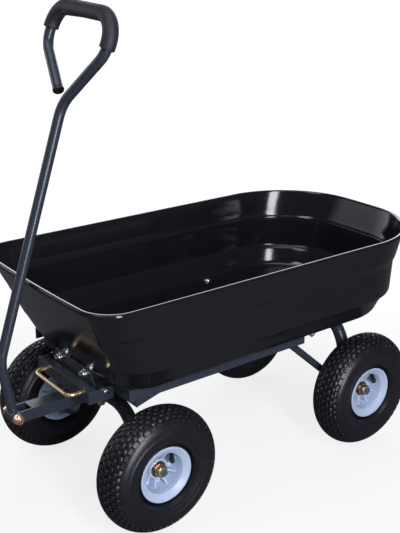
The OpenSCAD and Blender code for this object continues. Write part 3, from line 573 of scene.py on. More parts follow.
def bent_tube(points: Sequence[Vector], radii: Sequence[float], radius: float, sides: int = 28,
              chamfer: float = 0.6) -> Mesh:
    """Draws a closed tube through corner points.

    Args:
        points: Ends and corners of the tube's line.
        radii: Bend radius at each corner.
        radius: Radius of the tube.
        sides: Corners of its ring.
        chamfer: Chamfer of its two ends.

    Returns:
        The tube's mesh.
    """
    headings = [(b - a).normalized() for a, b in zip(points, points[1:])]
    trims = [0.0]
    for i, bend in enumerate(radii):
        trims.append(bend * math.tan(headings[i].angle(headings[i + 1]) / 2))
    trims.append(0.0)
    tube = TubeBender(points[0], headings[0], radius - chamfer, sides)
    tube.taper([chamfer], [radius - chamfer, radius])
    for i, heading in enumerate(headings):
        length = (points[i + 1] - points[i]).length - trims[i] - trims[i + 1]
        lost = (chamfer if i == 0 else 0.0) + (chamfer if i == len(headings) - 1 else 0.0)
        tube.run(length - lost)
        if i < len(radii):
            tube.bend(headings[i + 1], radii[i], heading.angle(headings[i + 1]))
    tube.taper([chamfer], [radius, radius - chamfer])
    return tube.close()


# Sub-assemblies


@dataclass
class Assembly:
    """Pieces of the cart that are made together.

    Attributes:
        palette: Materials.
    """

    palette: Palette

    def piece(self, bm: Mesh, name: str, body: str, keys: Sequence[str], nodes: Iterable[str],
              placing: Matrix | None = None, angle: float = SMOOTH_ANGLE,
              across: tuple[str, Vector, Vector] | None = None) -> Piece:
        """Turns a mesh in millimetres into a piece that rides on a body.

        Args:
            bm: The mesh, which is freed.
            name: The piece's name.
            body: The body that it rides on.
            keys: Finishes in the order of the mesh's material numbers.
            nodes: Nodes that the piece stands for.
            placing: Matrix in millimetres to apply first.
            angle: Edges sharper than this stay sharp.
            across: When given, the piece keeps its baked place on no body; its second body and points are not
                used.

        Returns:
            The new object.
        """
        bmesh.ops.remove_doubles(bm, verts=bm.verts, dist=0.001)
        bmesh.ops.transform(bm, matrix=TO_ROW @ (placing or Matrix.Identity(4)), verts=bm.verts)
        bmesh.ops.recalc_face_normals(bm, faces=bm.faces)
        for face in bm.faces:
            face.smooth = True
        for edge in bm.edges:
            edge.smooth = len(edge.link_faces) == 2 and edge.calc_face_angle(0.0) < angle
        mesh = bpy.data.meshes.new(name)
        bm.to_mesh(mesh)
        bm.free()
        for key in keys:
            mesh.materials.append(self.palette.made[key])
        made = placed(name, mesh)
        if across:
            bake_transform(made)
        else:
            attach(made, body)
        self.palette.slot(keys[0])
        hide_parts(*nodes)
        LOG.info("%s: %d faces on %s", name, len(mesh.polygons), body)
        return made


@dataclass
class Tub(Assembly):
    """The stepped moulded tub, with its rolled lip and embossed floor."""

    length: float = 903.0
    width: float = 496.0
    depth: float = 185.0
    wall: float = 4.0
    rim_z: float = 488.0
    rim_rear: float = -195.0
    front_slope: float = 95.0
    rear_slope: float = 80.0
    side_slope: float = 50.0
    front_r: float = 63.0
    rear_r: float = 195.0
    front_bow: float = 8.0
    floor_bow: float = 16.0
    rear_bow: float = 8.5
    lip: float = 5.0
    lip_depth: float = 10.0
    front_tuck: float = 0.25
    rear_tuck: float = 0.75
    front_steps: int = 14
    rear_steps: int = 26
    side_steps: int = 14
    back_steps: int = 8
    floor_border: float = 12.0
    rib_ends: tuple[tuple[float, float], ...] = ((22.0, 131.5), (-24.0, 165.5))
    rib_size: tuple[float, float] = (3.6, 5.6)
    rib_rise: float = 5.4

    def _levels(self) -> list[tuple[float, float, float]]:
        """Depth, inset and wall of each outline from the underside round the rim to the floor."""
        outer = [
            (185.0, 50.0), (184.2, 46.6), (182.4, 44.0), (180.0, 42.0), (170.0, 38.0), (147.0, 27.6),
            (144.4, 26.0), (143.0, 24.4), (141.6, 22.0), (140.2, 19.6), (139.0, 18.4), (137.0, 17.8),
            (120.0, 17.4), (90.0, 16.8), (68.0, 16.2), (66.6, 15.8), (65.6, 15.2), (64.2, 14.2), (62.8, 13.2),
            (61.0, 12.5), (50.0, 10.8), (28.0, 7.6), (13.0, 5.5), (10.2, 4.8), (9.2, 3.2), (8.9, 1.2),
            (8.0, 0.2), (6.0, 0.0), (3.2, 0.0), (1.4, 0.6), (0.4, 1.8), (0.0, 3.4),
        ]
        inner = [
            (0.0, 1.6), (0.5, 3.2), (1.8, 4.4), (4.0, 5.2), (26.0, 8.1), (48.0, 11.1), (58.6, 12.5),
            (60.4, 13.2), (61.8, 14.2), (63.2, 15.2), (64.2, 15.8), (65.6, 16.2), (90.0, 16.8), (120.0, 17.4),
            (134.6, 17.8), (136.6, 18.4), (137.8, 19.6), (139.2, 22.0), (140.6, 24.4), (142.0, 26.0),
            (144.6, 27.6), (168.0, 38.0), (175.6, 42.0), (178.6, 44.6), (180.4, 48.0), (181.0, 52.0),
        ]
        made = [(d, inset, 0.0) for d, inset in outer]
        made += [(d, inset, self.wall) for d, inset in inner]
        panel = [(181.0, 34.0), (180.6, 35.4), (179.4, 36.6), (178.4, 37.6), (178.0, 39.0)]
        made += [(d, self.side_slope, border) for d, border in panel]
        return made

    def _rear_extra(self, depth: float) -> float:
        """How much further the rear wall stands in than the side walls at a depth."""
        knots = ((0.0, 0.0), (61.0, 16.0), (138.0, 24.0), (self.depth, self.rear_slope - self.side_slope))
        for (low, start), (high, stop) in zip(knots, knots[1:]):
            if depth <= high:
                return start + (stop - start) * (depth - low) / (high - low)
        return knots[-1][1]

    def _front_inset(self, depth: float, inset: float) -> float:
        """How far the front wall stands in from the rim at a depth."""
        if depth < self.lip_depth:
            return inset
        return self.lip + (self.front_slope - self.lip) * depth / self.depth

    def _ring(self, depth: float, inset: float, wall: float) -> list[Vector]:
        """Points of one outline.

        Args:
            depth: Depth below the rim.
            inset: Inset of its sides from the rim.
            wall: Further inset for the inner skin.

        Returns:
            Points in order round the tub, counter-clockwise from the front left corner.
        """
        extra = self._rear_extra(depth)
        xf = self.rim_rear + self.length - self.front_bow - self._front_inset(depth, inset) - wall
        xr = self.rim_rear + self.rear_bow + inset + extra + wall
        half = self.width / 2 - inset - wall
        rf = self.front_r - (inset + wall) * self.front_tuck
        rr = self.rear_r - (inset + extra + wall) * self.rear_tuck
        flat: list[tuple[float, float]] = []

        def corner(cx: float, cy: float, radius: float, start: float, steps: int) -> None:
            """Adds a quarter turn of corner points."""
            for i in range(steps + 1):
                a = math.radians(start + 90.0 * i / steps)
                flat.append((cx + radius * math.cos(a), cy + radius * math.sin(a)))

        def along(x0: float, y0: float, x1: float, y1: float, steps: int) -> None:
            """Adds points between two corners."""
            for i in range(1, steps):
                flat.append((x0 + (x1 - x0) * i / steps, y0 + (y1 - y0) * i / steps))

        corner(xf - rf, half - rf, rf, 0.0, self.front_steps)
        along(xf - rf, half, xr + rr, half, self.side_steps)
        corner(xr + rr, half - rr, rr, 90.0, self.rear_steps)
        along(xr, half - rr, xr, rr - half, self.back_steps)
        corner(xr + rr, rr - half, rr, 180.0, self.rear_steps)
        along(xr + rr, -half, xf - rf, -half, self.side_steps)
        corner(xf - rf, rf - half, rf, 270.0, self.front_steps)
        along(xf, rf - half, xf, half - rf, self.side_steps)
        mid = (xf + xr) / 2
        reach = (xf - xr) / 2
        made = []
        for x, y in flat:
            u = (x - mid) / reach
            front = self.front_bow + (self.floor_bow - self.front_bow) * depth / self.depth
            bow = front if u > 0 else self.rear_bow
            made.append(Vector((x + u * bow * (1 - (y / half) ** 2), y, self.rim_z - depth)))
        return made

    def build(self) -> None:
        """Extrudes the outlines one into the next, then fills the floor and adds its ribs."""
        bm = bmesh.new()
        levels = self._levels()
        first = self._ring(*levels[0])
        verts = bmesh.ops.create_circle(bm, segments=len(first), radius=1.0, cap_ends=True)["verts"]
        for vert, point in zip(verts, first):
            vert.co = point
        for level in levels[1:]:
            edges = [bm.edges.get((verts[i - 1], verts[i])) for i in range(len(verts))]
            grown = bmesh.ops.extrude_edge_only(bm, edges=edges)["geom"]
            fresh = [g for g in grown if isinstance(g, bmesh.types.BMVert)]
            follow = {}
            for vert in fresh:
                for edge in vert.link_edges:
                    other = edge.other_vert(vert)
                    if other in verts:
                        follow[other] = vert
            verts = [follow[v] for v in verts]
            for vert, point in zip(verts, self._ring(*level)):
                vert.co = point
        floor = bmesh.ops.contextual_create(bm, geom=verts)["faces"]
        bmesh.ops.inset_region(bm, faces=floor, thickness=self.floor_border, use_even_offset=True)
        for side in Side:
            self._rib(bm, side.value)
        self.piece(bm, "moulded_tub", "tub", ["tub"], ["tub"], angle=math.radians(50))

    def _rib(self, bm: Mesh, sign: int) -> None:
        """Adds a low slanted rib across the floor's border near a rear corner.

        Args:
            bm: The tub's mesh.
            sign: Sign of the side along Y.
        """
        start, stop = [Vector((x, sign * y, 0.0)) for x, y in self.rib_ends]
        middle = (start + stop) / 2 + Vector((0.0, 0.0, self.rim_z - self.depth + self.rib_rise))
        turn = Matrix.Rotation(math.atan2(stop.y - start.y, stop.x - start.x), 4, "Z")
        size = ((stop - start).length, *self.rib_size)
        bevelled_block(bm, size, Matrix.Translation(middle) @ turn, 1.4, 3)


@dataclass
class Handle(Assembly):
    """The pull handle: one bent tube, its foam grip, its end cap and the bush at its foot."""

    pivot: tuple[float, float] = (755.0, 221.0)
    lower: float = 119.0
    lower_lean: float = 9.5
    upper: float = 498.0
    upper_lean: float = 18.6
    bend_r: float = 80.0
    tube_r: float = 10.0
    loop_h: float = 168.0
    loop_angle: float = 45.5
    apex_r: float = 60.0
    loop_r: float = 46.0
    tail: float = 33.0
    grip_r: float = 14.5
    grip_sweeps: tuple[float, float] = (105.0, 90.0)
    foot_gap: float = 11.0
    bush_r: float = 13.0
    bush_bore: float = 6.05
    bush_half: float = 13.7

    def __post_init__(self) -> None:
        """Works out the corners of the tube's line."""
        low, up = math.radians(self.lower_lean), math.radians(self.upper_lean)
        self.foot = Vector((self.pivot[0], 0.0, self.pivot[1]))
        self.elbow = self.foot + self.lower * Vector((math.sin(low), 0.0, math.cos(low)))
        self.rise = Vector((-math.sin(up), 0.0, math.cos(up)))
        self.apex = self.elbow + self.upper * self.rise

    def in_loop(self, y: float, s: float) -> Vector:
        """A point of the loop's plane, sideways and up from its foot."""
        return self.apex + Vector((0.0, y, 0.0)) + s * self.rise

    def build(self) -> None:
        """Bends the tube and adds the grip, the cap and the bush."""
        angle = math.radians(self.loop_angle)
        half = self.loop_h * math.tan(angle)
        tail_dir = Vector((0.0, -math.sin(angle), 0.0)) + math.cos(angle) * self.rise
        end = self.apex + tail_dir * self.tail
        start = self.foot + (self.elbow - self.foot).normalized() * self.foot_gap
        corners = [self.in_loop(half, self.loop_h), self.in_loop(-half, self.loop_h)]
        radii = [self.bend_r, self.apex_r, self.loop_r, self.loop_r]
        tube = bent_tube([start, self.elbow, self.apex, *corners, end], radii, self.tube_r, 32)
        self.piece(tube, "pull_handle_tube", "handle", ["steel"], ["handle_tube"])
        self._grip(half)
        self._cap(end, tail_dir)
        self._bush()

    def _grip(self, half: float) -> None:
        """Sweeps the foam sleeve round the top of the loop, with softened ends."""
        flat = half - self.loop_r * math.tan(math.radians(90 + self.loop_angle) / 2)
        sweeps = [math.radians(angle) - 2.0 / self.loop_r for angle in self.grip_sweeps]
        low = math.radians(90.0 - self.grip_sweeps[0])
        level = self.loop_h - self.loop_r
        start = self.in_loop(flat + self.loop_r * math.cos(low), level + self.loop_r * math.sin(low))
        heading = Vector((0.0, -math.sin(low), 0.0)) + math.cos(low) * self.rise
        inward = self.in_loop(flat, level) - start
        lengths = [-1.5, 0.6, 1.4]
        radii = [self.tube_r + 0.3, self.grip_r - 1.6, self.grip_r - 0.5, self.grip_r]
        tube = TubeBender(start - heading * lengths[0], heading, radii[0], 36)
        tube.taper(lengths, radii)
        tube.bend(inward, self.loop_r, sweeps[0], 24)
        tube.run(2 * flat)
        tube.bend(-self.rise, self.loop_r, sweeps[1], 22)
        tube.taper(lengths[::-1], radii[::-1])
        made = self.piece(tube.close(), "foam_grip", "handle", ["grip"], ["handle_grip"])

    def _cap(self, end: Vector, heading: Vector) -> None:
        """A rounded plastic cap on the tube's open end."""
        radius = self.tube_r + 0.8
        dome = [radius - 3.2, radius - 1.4, radius - 0.3, radius]
        tube = TubeBender(end - heading * 3.0, heading, dome[0], 32)
        tube.taper([0.5, 0.9, 1.0], dome)
        tube.run(4.0)
        tube.taper([0.6, -0.3], [radius, radius - 0.4, self.tube_r - 0.2])
        self.piece(tube.close(), "handle_tail_cap", "handle", ["cap"], ["handle_end_cap"])

    def _bush(self) -> None:
        """The cross bush at the handle's foot."""
        bm = bmesh.new()
        bore, out, half = self.bush_bore, self.bush_r, self.bush_half
        outline = [(bore, -half, 0.6), (out, -half, 1.2), (out, half, 1.2), (bore, half, 0.6)]
        lathe(bm, rounded(outline), 48)
        placing = Matrix.Translation(self.foot) @ OUTBOARD
        self.piece(bm, "handle_foot_bush", "handle", ["steel"], ["handle_bush"], placing)


@dataclass
class Wheel(Assembly):
    """A pneumatic wheel: tyre with block tread, ribbed rim, bearings and valve."""

    end: End
    side: Side
    radius: float = 130.0
    section_r: float = 42.0
    rim_r: float = 58.0
    tread_depth: float = 5.0
    blocks: int = 48
    rows: tuple[tuple[float, float, float], ...] = (
        (0.0, 7.6, 0.0), (13.2, 7.4, 0.5), (-13.2, 7.4, 0.5), (26.4, 7.4, 0.0), (-26.4, 7.4, 0.0),
        (39.4, 7.4, 0.5), (-39.4, 7.4, 0.5), (51.8, 8.4, 0.0), (-51.8, 8.4, 0.0),
    )
    ribs: int = 8
    hub_r: float = 21.0
    hub_low: float = -38.0
    hub_high: float = 4.0
    bearing_r: float = 17.5
    bearing_len: float = 11.0
    sleeve_r: float = 9.5
    valve_ridges: int = 14

    @property
    def name(self) -> str:
        """The wheel's place in words, such as front_left."""
        return f"{self.end.word}_{self.side.word}"

    def on_section(self, angle: float, depth: float) -> tuple[float, float]:
        """Radius and height of a point of the tyre's round section.

        Args:
            angle: Degrees from the crown.
            depth: Depth below the surface.

        Returns:
            Radius from the axle and height from the wheel's plane.
        """
        a = math.radians(angle)
        r = self.section_r - depth
        return self.radius - self.section_r + r * math.cos(a), r * math.sin(a)

    def _piece(self, bm: Mesh, part: str, node: str, keys: Sequence[str], angle: float = SMOOTH_ANGLE,
               placing: Matrix | None = None) -> None:
        """Finishes one piece of the wheel.

        Args:
            bm: The mesh, drawn about Z with outboard up.
            part: The piece's name after the wheel's.
            node: The node's name after the wheel's.
            keys: Finishes.
            angle: Edges sharper than this stay sharp.
            placing: Where the piece stands on the wheel.
        """
        place = wheel_matrix(self.end, self.side) @ (placing or Matrix.Identity(4))
        name = f"{self.name}_{part}"
        self.piece(bm, name, f"wheel_{self.name}", keys, [f"{self.name}_{node}"], place, angle)

    def _half_section(self) -> list[tuple[float, float]]:
        """Angle and depth of the tyre's surface from crown to bead."""
        return [
            (0.0, 3.4), (8.0, 3.4), (20.0, 3.4), (32.0, 3.4), (44.0, 3.2), (52.0, 2.2), (58.0, 1.0),
            (63.0, 0.4), (70.0, 0.1), (78.0, 0.0), (84.0, 0.0), (86.0, -0.9), (89.0, -0.9), (91.0, 0.0),
            (100.0, 0.2), (108.0, 0.6), (112.0, 0.8), (113.5, -0.2), (116.0, -0.2), (117.5, 1.0),
            (124.0, 2.4), (131.0, 5.0), (136.0, 8.6),
        ]

    def tyre(self) -> None:
        """Spins the casing and sets the tread's blocks on it."""
        bm = bmesh.new()
        upper = [self.on_section(a, d) for a, d in self._half_section()]
        lower = [(r, -h) for r, h in reversed(upper[1:])]
        lap = self.rim_r + 0.4
        bead = [(lap, 29.6), (54.0, 25.0), (54.0, -25.0), (lap, -29.6)]
        lathe(bm, upper + bead + lower, 96)
        for angle, width, turn in self.rows:
            self._block_row(bm, angle, width, turn)
        self._piece(bm, "pneumatic_tyre", "tyre", ["tyre"], math.radians(45))

    def _block_row(self, bm: Mesh, angle: float, width: float, turn: float) -> None:
        """Adds one row of tread blocks, copied round the axle.

        Args:
            bm: The tyre's mesh.
            angle: Degrees of the row from the crown.
            width: Width of a block across the tread.
            turn: Share of a pitch that the row is turned by.
        """
        depth = self.tread_depth
        r, h = self.on_section(angle, depth / 2)
        pitch = math.tau / self.blocks
        old = set(bm.verts)
        placing = Matrix.Rotation(turn * pitch, 4, "Z") @ Matrix.Translation((r, 0.0, h))
        placing = placing @ Matrix.Rotation(math.radians(-angle), 4, "Y")
        bevelled_block(bm, (depth, r * pitch * 0.8, width), placing, 0.6)
        fresh = [v for v in bm.verts if v not in old]
        geom = fresh + edges_at(fresh) + list({f for v in fresh for f in v.link_faces})
        bmesh.ops.spin(bm, geom=geom, cent=(0, 0, 0), axis=(0, 0, 1), angle=math.tau - pitch,
                       steps=self.blocks - 1, use_duplicate=True)

    def rim(self) -> None:
        """Spins the flanged rim and hub, and adds ribs between them."""
        bm = bmesh.new()
        edge = self.rim_r
        lathe(bm, rounded([
            (edge, 31.5, 1.6), (54.6, 31.5, 2.5), (42.5, 24.5, 3.0), (40.6, 17.0, 1.5), (38.0, -8.0, 2.0),
            (20.6, -11.0, 2.0), (20.6, -15.5, 2.0), (44.0, -14.5, 2.0), (47.5, -24.0, 2.5),
            (54.6, -31.5, 2.5), (edge, -31.5, 1.6), (edge, -29.0, 0.8), (53.6, -24.6, 2.0),
            (53.6, 24.6, 2.0), (edge, 29.0, 0.8),
        ]), 96)
        seat, hub, sleeve = self.bearing_r, self.hub_r, self.sleeve_r
        low, high = self.hub_low + self.bearing_len, self.hub_high - self.bearing_len
        lathe(bm, rounded([
            (seat, self.hub_high, 0.4), (hub, self.hub_high, 1.4), (hub, self.hub_low, 1.4),
            (seat, self.hub_low, 0.4), (seat, low, 0.0), (sleeve, low, 0.4), (sleeve, high, 0.4),
            (seat, high, 0.0),
        ]), 64)
        outboard = Matrix.Translation((30.4, 0.0, 0.4)) @ Matrix.Rotation(math.radians(-24.0), 4, "Y")
        inboard = Matrix.Translation((32.0, 0.0, -21.0)) @ Matrix.Rotation(math.radians(12.0), 4, "Y")
        for i in range(self.ribs):
            turn = Matrix.Rotation(math.tau * (i + 0.5) / self.ribs, 4, "Z")
            bevelled_block(bm, (22.5, 3.4, 17.0), turn @ outboard, 0.8, 2)
            bevelled_block(bm, (27.0, 3.4, 15.0), turn @ inboard, 0.8, 2)
        self._piece(bm, "ribbed_rim", "rim", ["rim"], math.radians(40))

    def bearings(self) -> None:
        """Two sealed bearings: outer ring, inner ring and a seal, sunk a little, between them."""
        bm = bmesh.new()
        rings = [
            (15.0, 17.4, 0.0, 0.3, 0.5, 0), (8.05, 10.6, 0.0, 0.4, 0.3, 0), (10.5, 15.1, 0.8, 0.2, 0.2, 1),
        ]
        for foot in (self.hub_high - self.bearing_len, self.hub_low):
            for bore, out, sunk, bore_soft, out_soft, number in rings:
                low, high = foot + sunk, foot + self.bearing_len - sunk
                outline = [(bore, low, bore_soft), (out, low, out_soft), (out, high, out_soft),
                           (bore, high, bore_soft)]
                lathe(bm, rounded(outline), 48, number)
        self._piece(bm, "hub_bearings", "bearings", ["zinc", "seal"])

    def valve(self) -> None:
        """A rubber valve stem with a ridged cap, leaning outboard from the rim's wall."""
        bm = bmesh.new()
        outline = rounded([
            (0.0, -3.0, 0.0), (5.2, -3.0, 0.6), (5.2, 1.0, 0.8), (3.9, 3.0, 0.8), (3.9, 13.0, 0.4),
            (5.0, 13.4, 0.5), (5.0, 23.0, 1.2), (4.0, 24.0, 0.6), (0.0, 24.0, 0.0),
        ])
        lathe(bm, outline, 32, closed=False)
        for i in range(self.valve_ridges):
            turn = Matrix.Rotation(math.tau * i / self.valve_ridges, 4, "Z")
            bevelled_block(bm, (0.9, 1.1, 8.0), turn @ Matrix.Translation((4.8, 0.0, 18.2)), 0.25)
        place = Matrix.Rotation(math.radians(225.0), 4, "Z")
        place = place @ Matrix.Translation((40.25, 0.0, 6.0)) @ Matrix.Rotation(math.radians(-38.0), 4, "Y")
        self._piece(bm, "tyre_valve", "valve", ["valve"], placing=place)

    def build(self) -> None:
        """Builds every piece of the wheel."""
        for make in (self.tyre, self.rim, self.bearings, self.valve):
            make()


@dataclass(frozen=True)
class Thread:
    """A stock size of bolt.

    Attributes:
        radius: Radius of its shank.
        flats: Size across the flats of its head and nut.
        washer: Radius of its washers.
    """

    radius: float
    flats: float
    washer: float


M8 = Thread(4.0, 13.0, 9.0)
M12 = Thread(6.0, 19.0, 11.0)
M16 = Thread(8.0, 24.0, 13.0)


class Fasteners:
    """Hexagon nuts, washers, bolts and domed heads, built from a few shapes."""

    @staticmethod
    def hexagon(bm: Mesh, flats: float, low: float, high: float) -> None:
        """Adds a hexagon prism with rounded edges.

        Args:
            bm: The mesh to add to.
            flats: Size across the flats.
            low: Height of its foot.
            high: Height of its top.
        """
        placing = Matrix.Translation((0.0, 0.0, (low + high) / 2))
        radius = flats / math.sqrt(3.0)
        cone = bmesh.ops.create_cone(bm, cap_ends=True, segments=6, radius1=radius, radius2=radius,
                                     depth=high - low, matrix=placing)
        round_edges(bm, cone["verts"], flats * 0.045, 2)

    @staticmethod
    def ring(bm: Mesh, inner: float, outer: float, low: float, high: float, soft: float = 0.3,
             number: int = 0) -> None:
        """Adds a ring such as a washer or a collar, with rounded edges."""
        points = [(inner, low, soft), (outer, low, soft), (outer, high, soft), (inner, high, soft)]
        lathe(bm, rounded(points, 3), 48, number)

    @staticmethod
    def rod(bm: Mesh, radius: float, low: float, high: float, soft: float = 0.8) -> None:
        """Adds a round rod with chamfered ends."""
        half = [(0.0, low), (radius - soft, low), (radius, low + soft)]
        lathe(bm, [*half, (radius, high - soft), (radius - soft, high), (0.0, high)], 40, closed=False)

    @classmethod
    def lock_nut(cls, bm: Mesh, thread: Thread, low: float, height: float) -> None:
        """Adds a lock nut with its collar and nylon insert, material 1, on top."""
        cls.hexagon(bm, thread.flats, low, low + height * 0.72)
        bore = thread.radius + 0.05
        radius = thread.flats / 2
        top = low + height
        collar = [(bore, low + 0.5, 0.0), (radius - 0.6, low + height * 0.7, 0.0),
                  (radius - 0.8, top - 1.2, 1.2), (radius - 2.6, top, 0.8), (radius - 3.4, top - 0.6, 0.3),
                  (bore, top - 1.0, 0.0)]
        lathe(bm, rounded(collar, 3), 40)
        cls.ring(bm, bore, radius - 2.8, top - 2.4, top - 0.5, 0.3, 1)

    @classmethod
    def washer(cls, bm: Mesh, thread: Thread, low: float, play: float = 0.1) -> None:
        """Adds a washer, 2 mm thick, with some play round the shank."""
        cls.ring(bm, thread.radius + play, thread.washer, low, low + 2.0)


@dataclass
class Hardware(Assembly):
    """Nuts and bolts of the running gear, the clevis, the catch, the latch and the tub's floor."""

    tub_z: float = 303.0
    tub_front: float = 621.0
    hub_face: float = 4.3
    clevis_half: float = 17.0
    king_z: float = 199.7
    catch_y: float = 48.0
    catch_drop: float = 12.0
    latch_spot: tuple[float, float, float] = (608.0, 102.0, 269.0)
    floor_spots: tuple[tuple[float, float, float], ...] = (
        (140.0, 183.0, 307.0), (32.0, 26.0, 308.8), (-32.0, 26.0, 308.8), (601.0, 26.0, 307.0),
    )

    @staticmethod
    def _add(bm: Mesh, draw: Callable[[Mesh], None], placings: Sequence[Matrix]) -> None:
        """Draws a shape once for each placing.

        Args:
            bm: The mesh to add to.
            draw: Draws the shape at the origin.
            placings: Where it stands.
        """
        for placing in placings:
            part = bmesh.new()
            draw(part)
            bmesh.ops.transform(part, matrix=placing, verts=part.verts)
            if placing.determinant() < 0:
                bmesh.ops.reverse_faces(part, faces=part.faces)
            store = bpy.data.meshes.new("part")
            part.to_mesh(store)
            part.free()
            bm.from_mesh(store)
            bpy.data.meshes.remove(store)

    def axle_nuts(self, end: End) -> None:
        """Washers and lock nuts on an axle's ends."""
        def draw(bm: Mesh) -> None:
            """One washer and nut, standing on the hub's face."""
            Fasteners.washer(bm, M16, self.hub_face, 0.2)
            Fasteners.lock_nut(bm, M16, self.hub_face + 2.0, 13.0)
        bm = bmesh.new()
        self._add(bm, draw, [wheel_matrix(end, side) for side in Side])
        body = "steering" if end is End.FRONT else "frame"
        keys = ["yellow_zinc", "insert"]
        self.piece(bm, f"{end.word}_axle_lock_nuts", body, keys, [f"{end.word}_axle_nuts"])

    def clevis(self) -> None:
        """The bolt, washers and nut of the handle's clevis."""
        x, z = Handle.pivot
        across = Matrix.Translation((x, 0.0, z)) @ OUTBOARD
        face = self.clevis_half + 2.0
        bolt = bmesh.new()
        Fasteners.rod(bolt, M12.radius, -face, 33.0)
        Fasteners.hexagon(bolt, M12.flats, -face - 10.0, -face)
        nut = bmesh.new()
        Fasteners.washer(nut, M12, self.clevis_half)
        Fasteners.washer(nut, M12, -face)
        Fasteners.lock_nut(nut, M12, face, 10.0)
        self.piece(bolt, "clevis_bolt", "steering", ["copper"], ["tongue_bolt"], across)
        self.piece(nut, "clevis_lock_nut", "steering", ["copper", "insert"], ["tongue_nut"], across)

    def king(self) -> None:
        """The king pin's washer and lock nut under the front hoop."""
        down = Matrix.Translation((End.FRONT.value, 0.0, self.king_z)) @ Matrix.Rotation(math.pi, 4, "X")
        nut = bmesh.new()
        Fasteners.washer(nut, M16, -2.0)
        Fasteners.lock_nut(nut, M16, 0.0, 13.0)
        self.piece(nut, "king_lock_nut", "frame", ["copper", "insert"], ["king_nut"], down)

    def catch_bolts(self) -> None:
        """Bolts through the hanger and the catch, with their nuts in front."""
        def draw(bm: Mesh) -> None:
            """One bolt along Z, standing on the back of the hanger."""
            Fasteners.hexagon(bm, M8.flats, -6.5, 0.0)
            Fasteners.rod(bm, M8.radius, 0.0, 18.5)
            Fasteners.washer(bm, M8, 6.0)
            Fasteners.lock_nut(bm, M8, 8.0, 6.5)
        bm = bmesh.new()
        ahead = Matrix.Rotation(math.pi / 2, 4, "Y")
        x, z = self.tub_front - 6.0, self.tub_z - self.catch_drop
        self._add(bm, draw, [Matrix.Translation((x, y, z)) @ ahead for y in (-self.catch_y, self.catch_y)])
        self.piece(bm, "catch_hex_bolts", "tub", ["zinc", "insert"], ["catch_bolts"])

    def latch_bolts(self) -> None:
        """Bolts through the arms of the latch channel."""
        def draw(bm: Mesh) -> None:
            """One bolt along Z, its head outward."""
            Fasteners.hexagon(bm, M8.flats, 0.0, 6.5)
            Fasteners.rod(bm, M8.radius, -13.5, 0.0)
            Fasteners.hexagon(bm, M8.flats, -9.5, -3.0)
        bm = bmesh.new()
        left = Matrix.Translation(self.latch_spot) @ OUTBOARD
        self._add(bm, draw, [left, MIRROR @ left])
        self.piece(bm, "latch_arm_bolts", "frame", ["zinc"], ["latch_bolts"])

    def floor_bolts(self) -> None:
        """Domed carriage bolts through the tub's floor, with washers and nuts below."""
        dome = [(10.0, 0.0), (9.9, 0.8), (8.8, 2.4), (6.9, 3.7), (4.4, 4.6), (1.8, 5.0), (0.0, 5.0)]
        bm = bmesh.new()
        for x, y, top in self.floor_spots:
            def draw(part: Mesh, foot: float = self.tub_z, top: float = top) -> None:
                """One bolt, its head's foot at the floor."""
                lathe(part, [(M8.radius, 0.0), *dome], 40, closed=False)
                Fasteners.rod(part, M8.radius, foot - 15.5 - top, 0.2)
                Fasteners.ring(part, M8.radius + 0.1, M8.washer, foot - 5.0 - top, foot - 3.0 - top)
                Fasteners.hexagon(part, M8.flats, foot - 11.5 - top, foot - 5.0 - top)
            self._add(bm, draw, [Matrix.Translation((x, side.value * y, top)) for side in Side])
        self.piece(bm, "tub_floor_bolts", "tub", ["zinc"], ["tub_carriage_bolts"])

    def build(self) -> None:
        """Builds every nut and bolt."""
        for end in End:
            self.axle_nuts(end)
        for make in (self.clevis, self.king, self.catch_bolts, self.latch_bolts, self.floor_bolts):
            make()


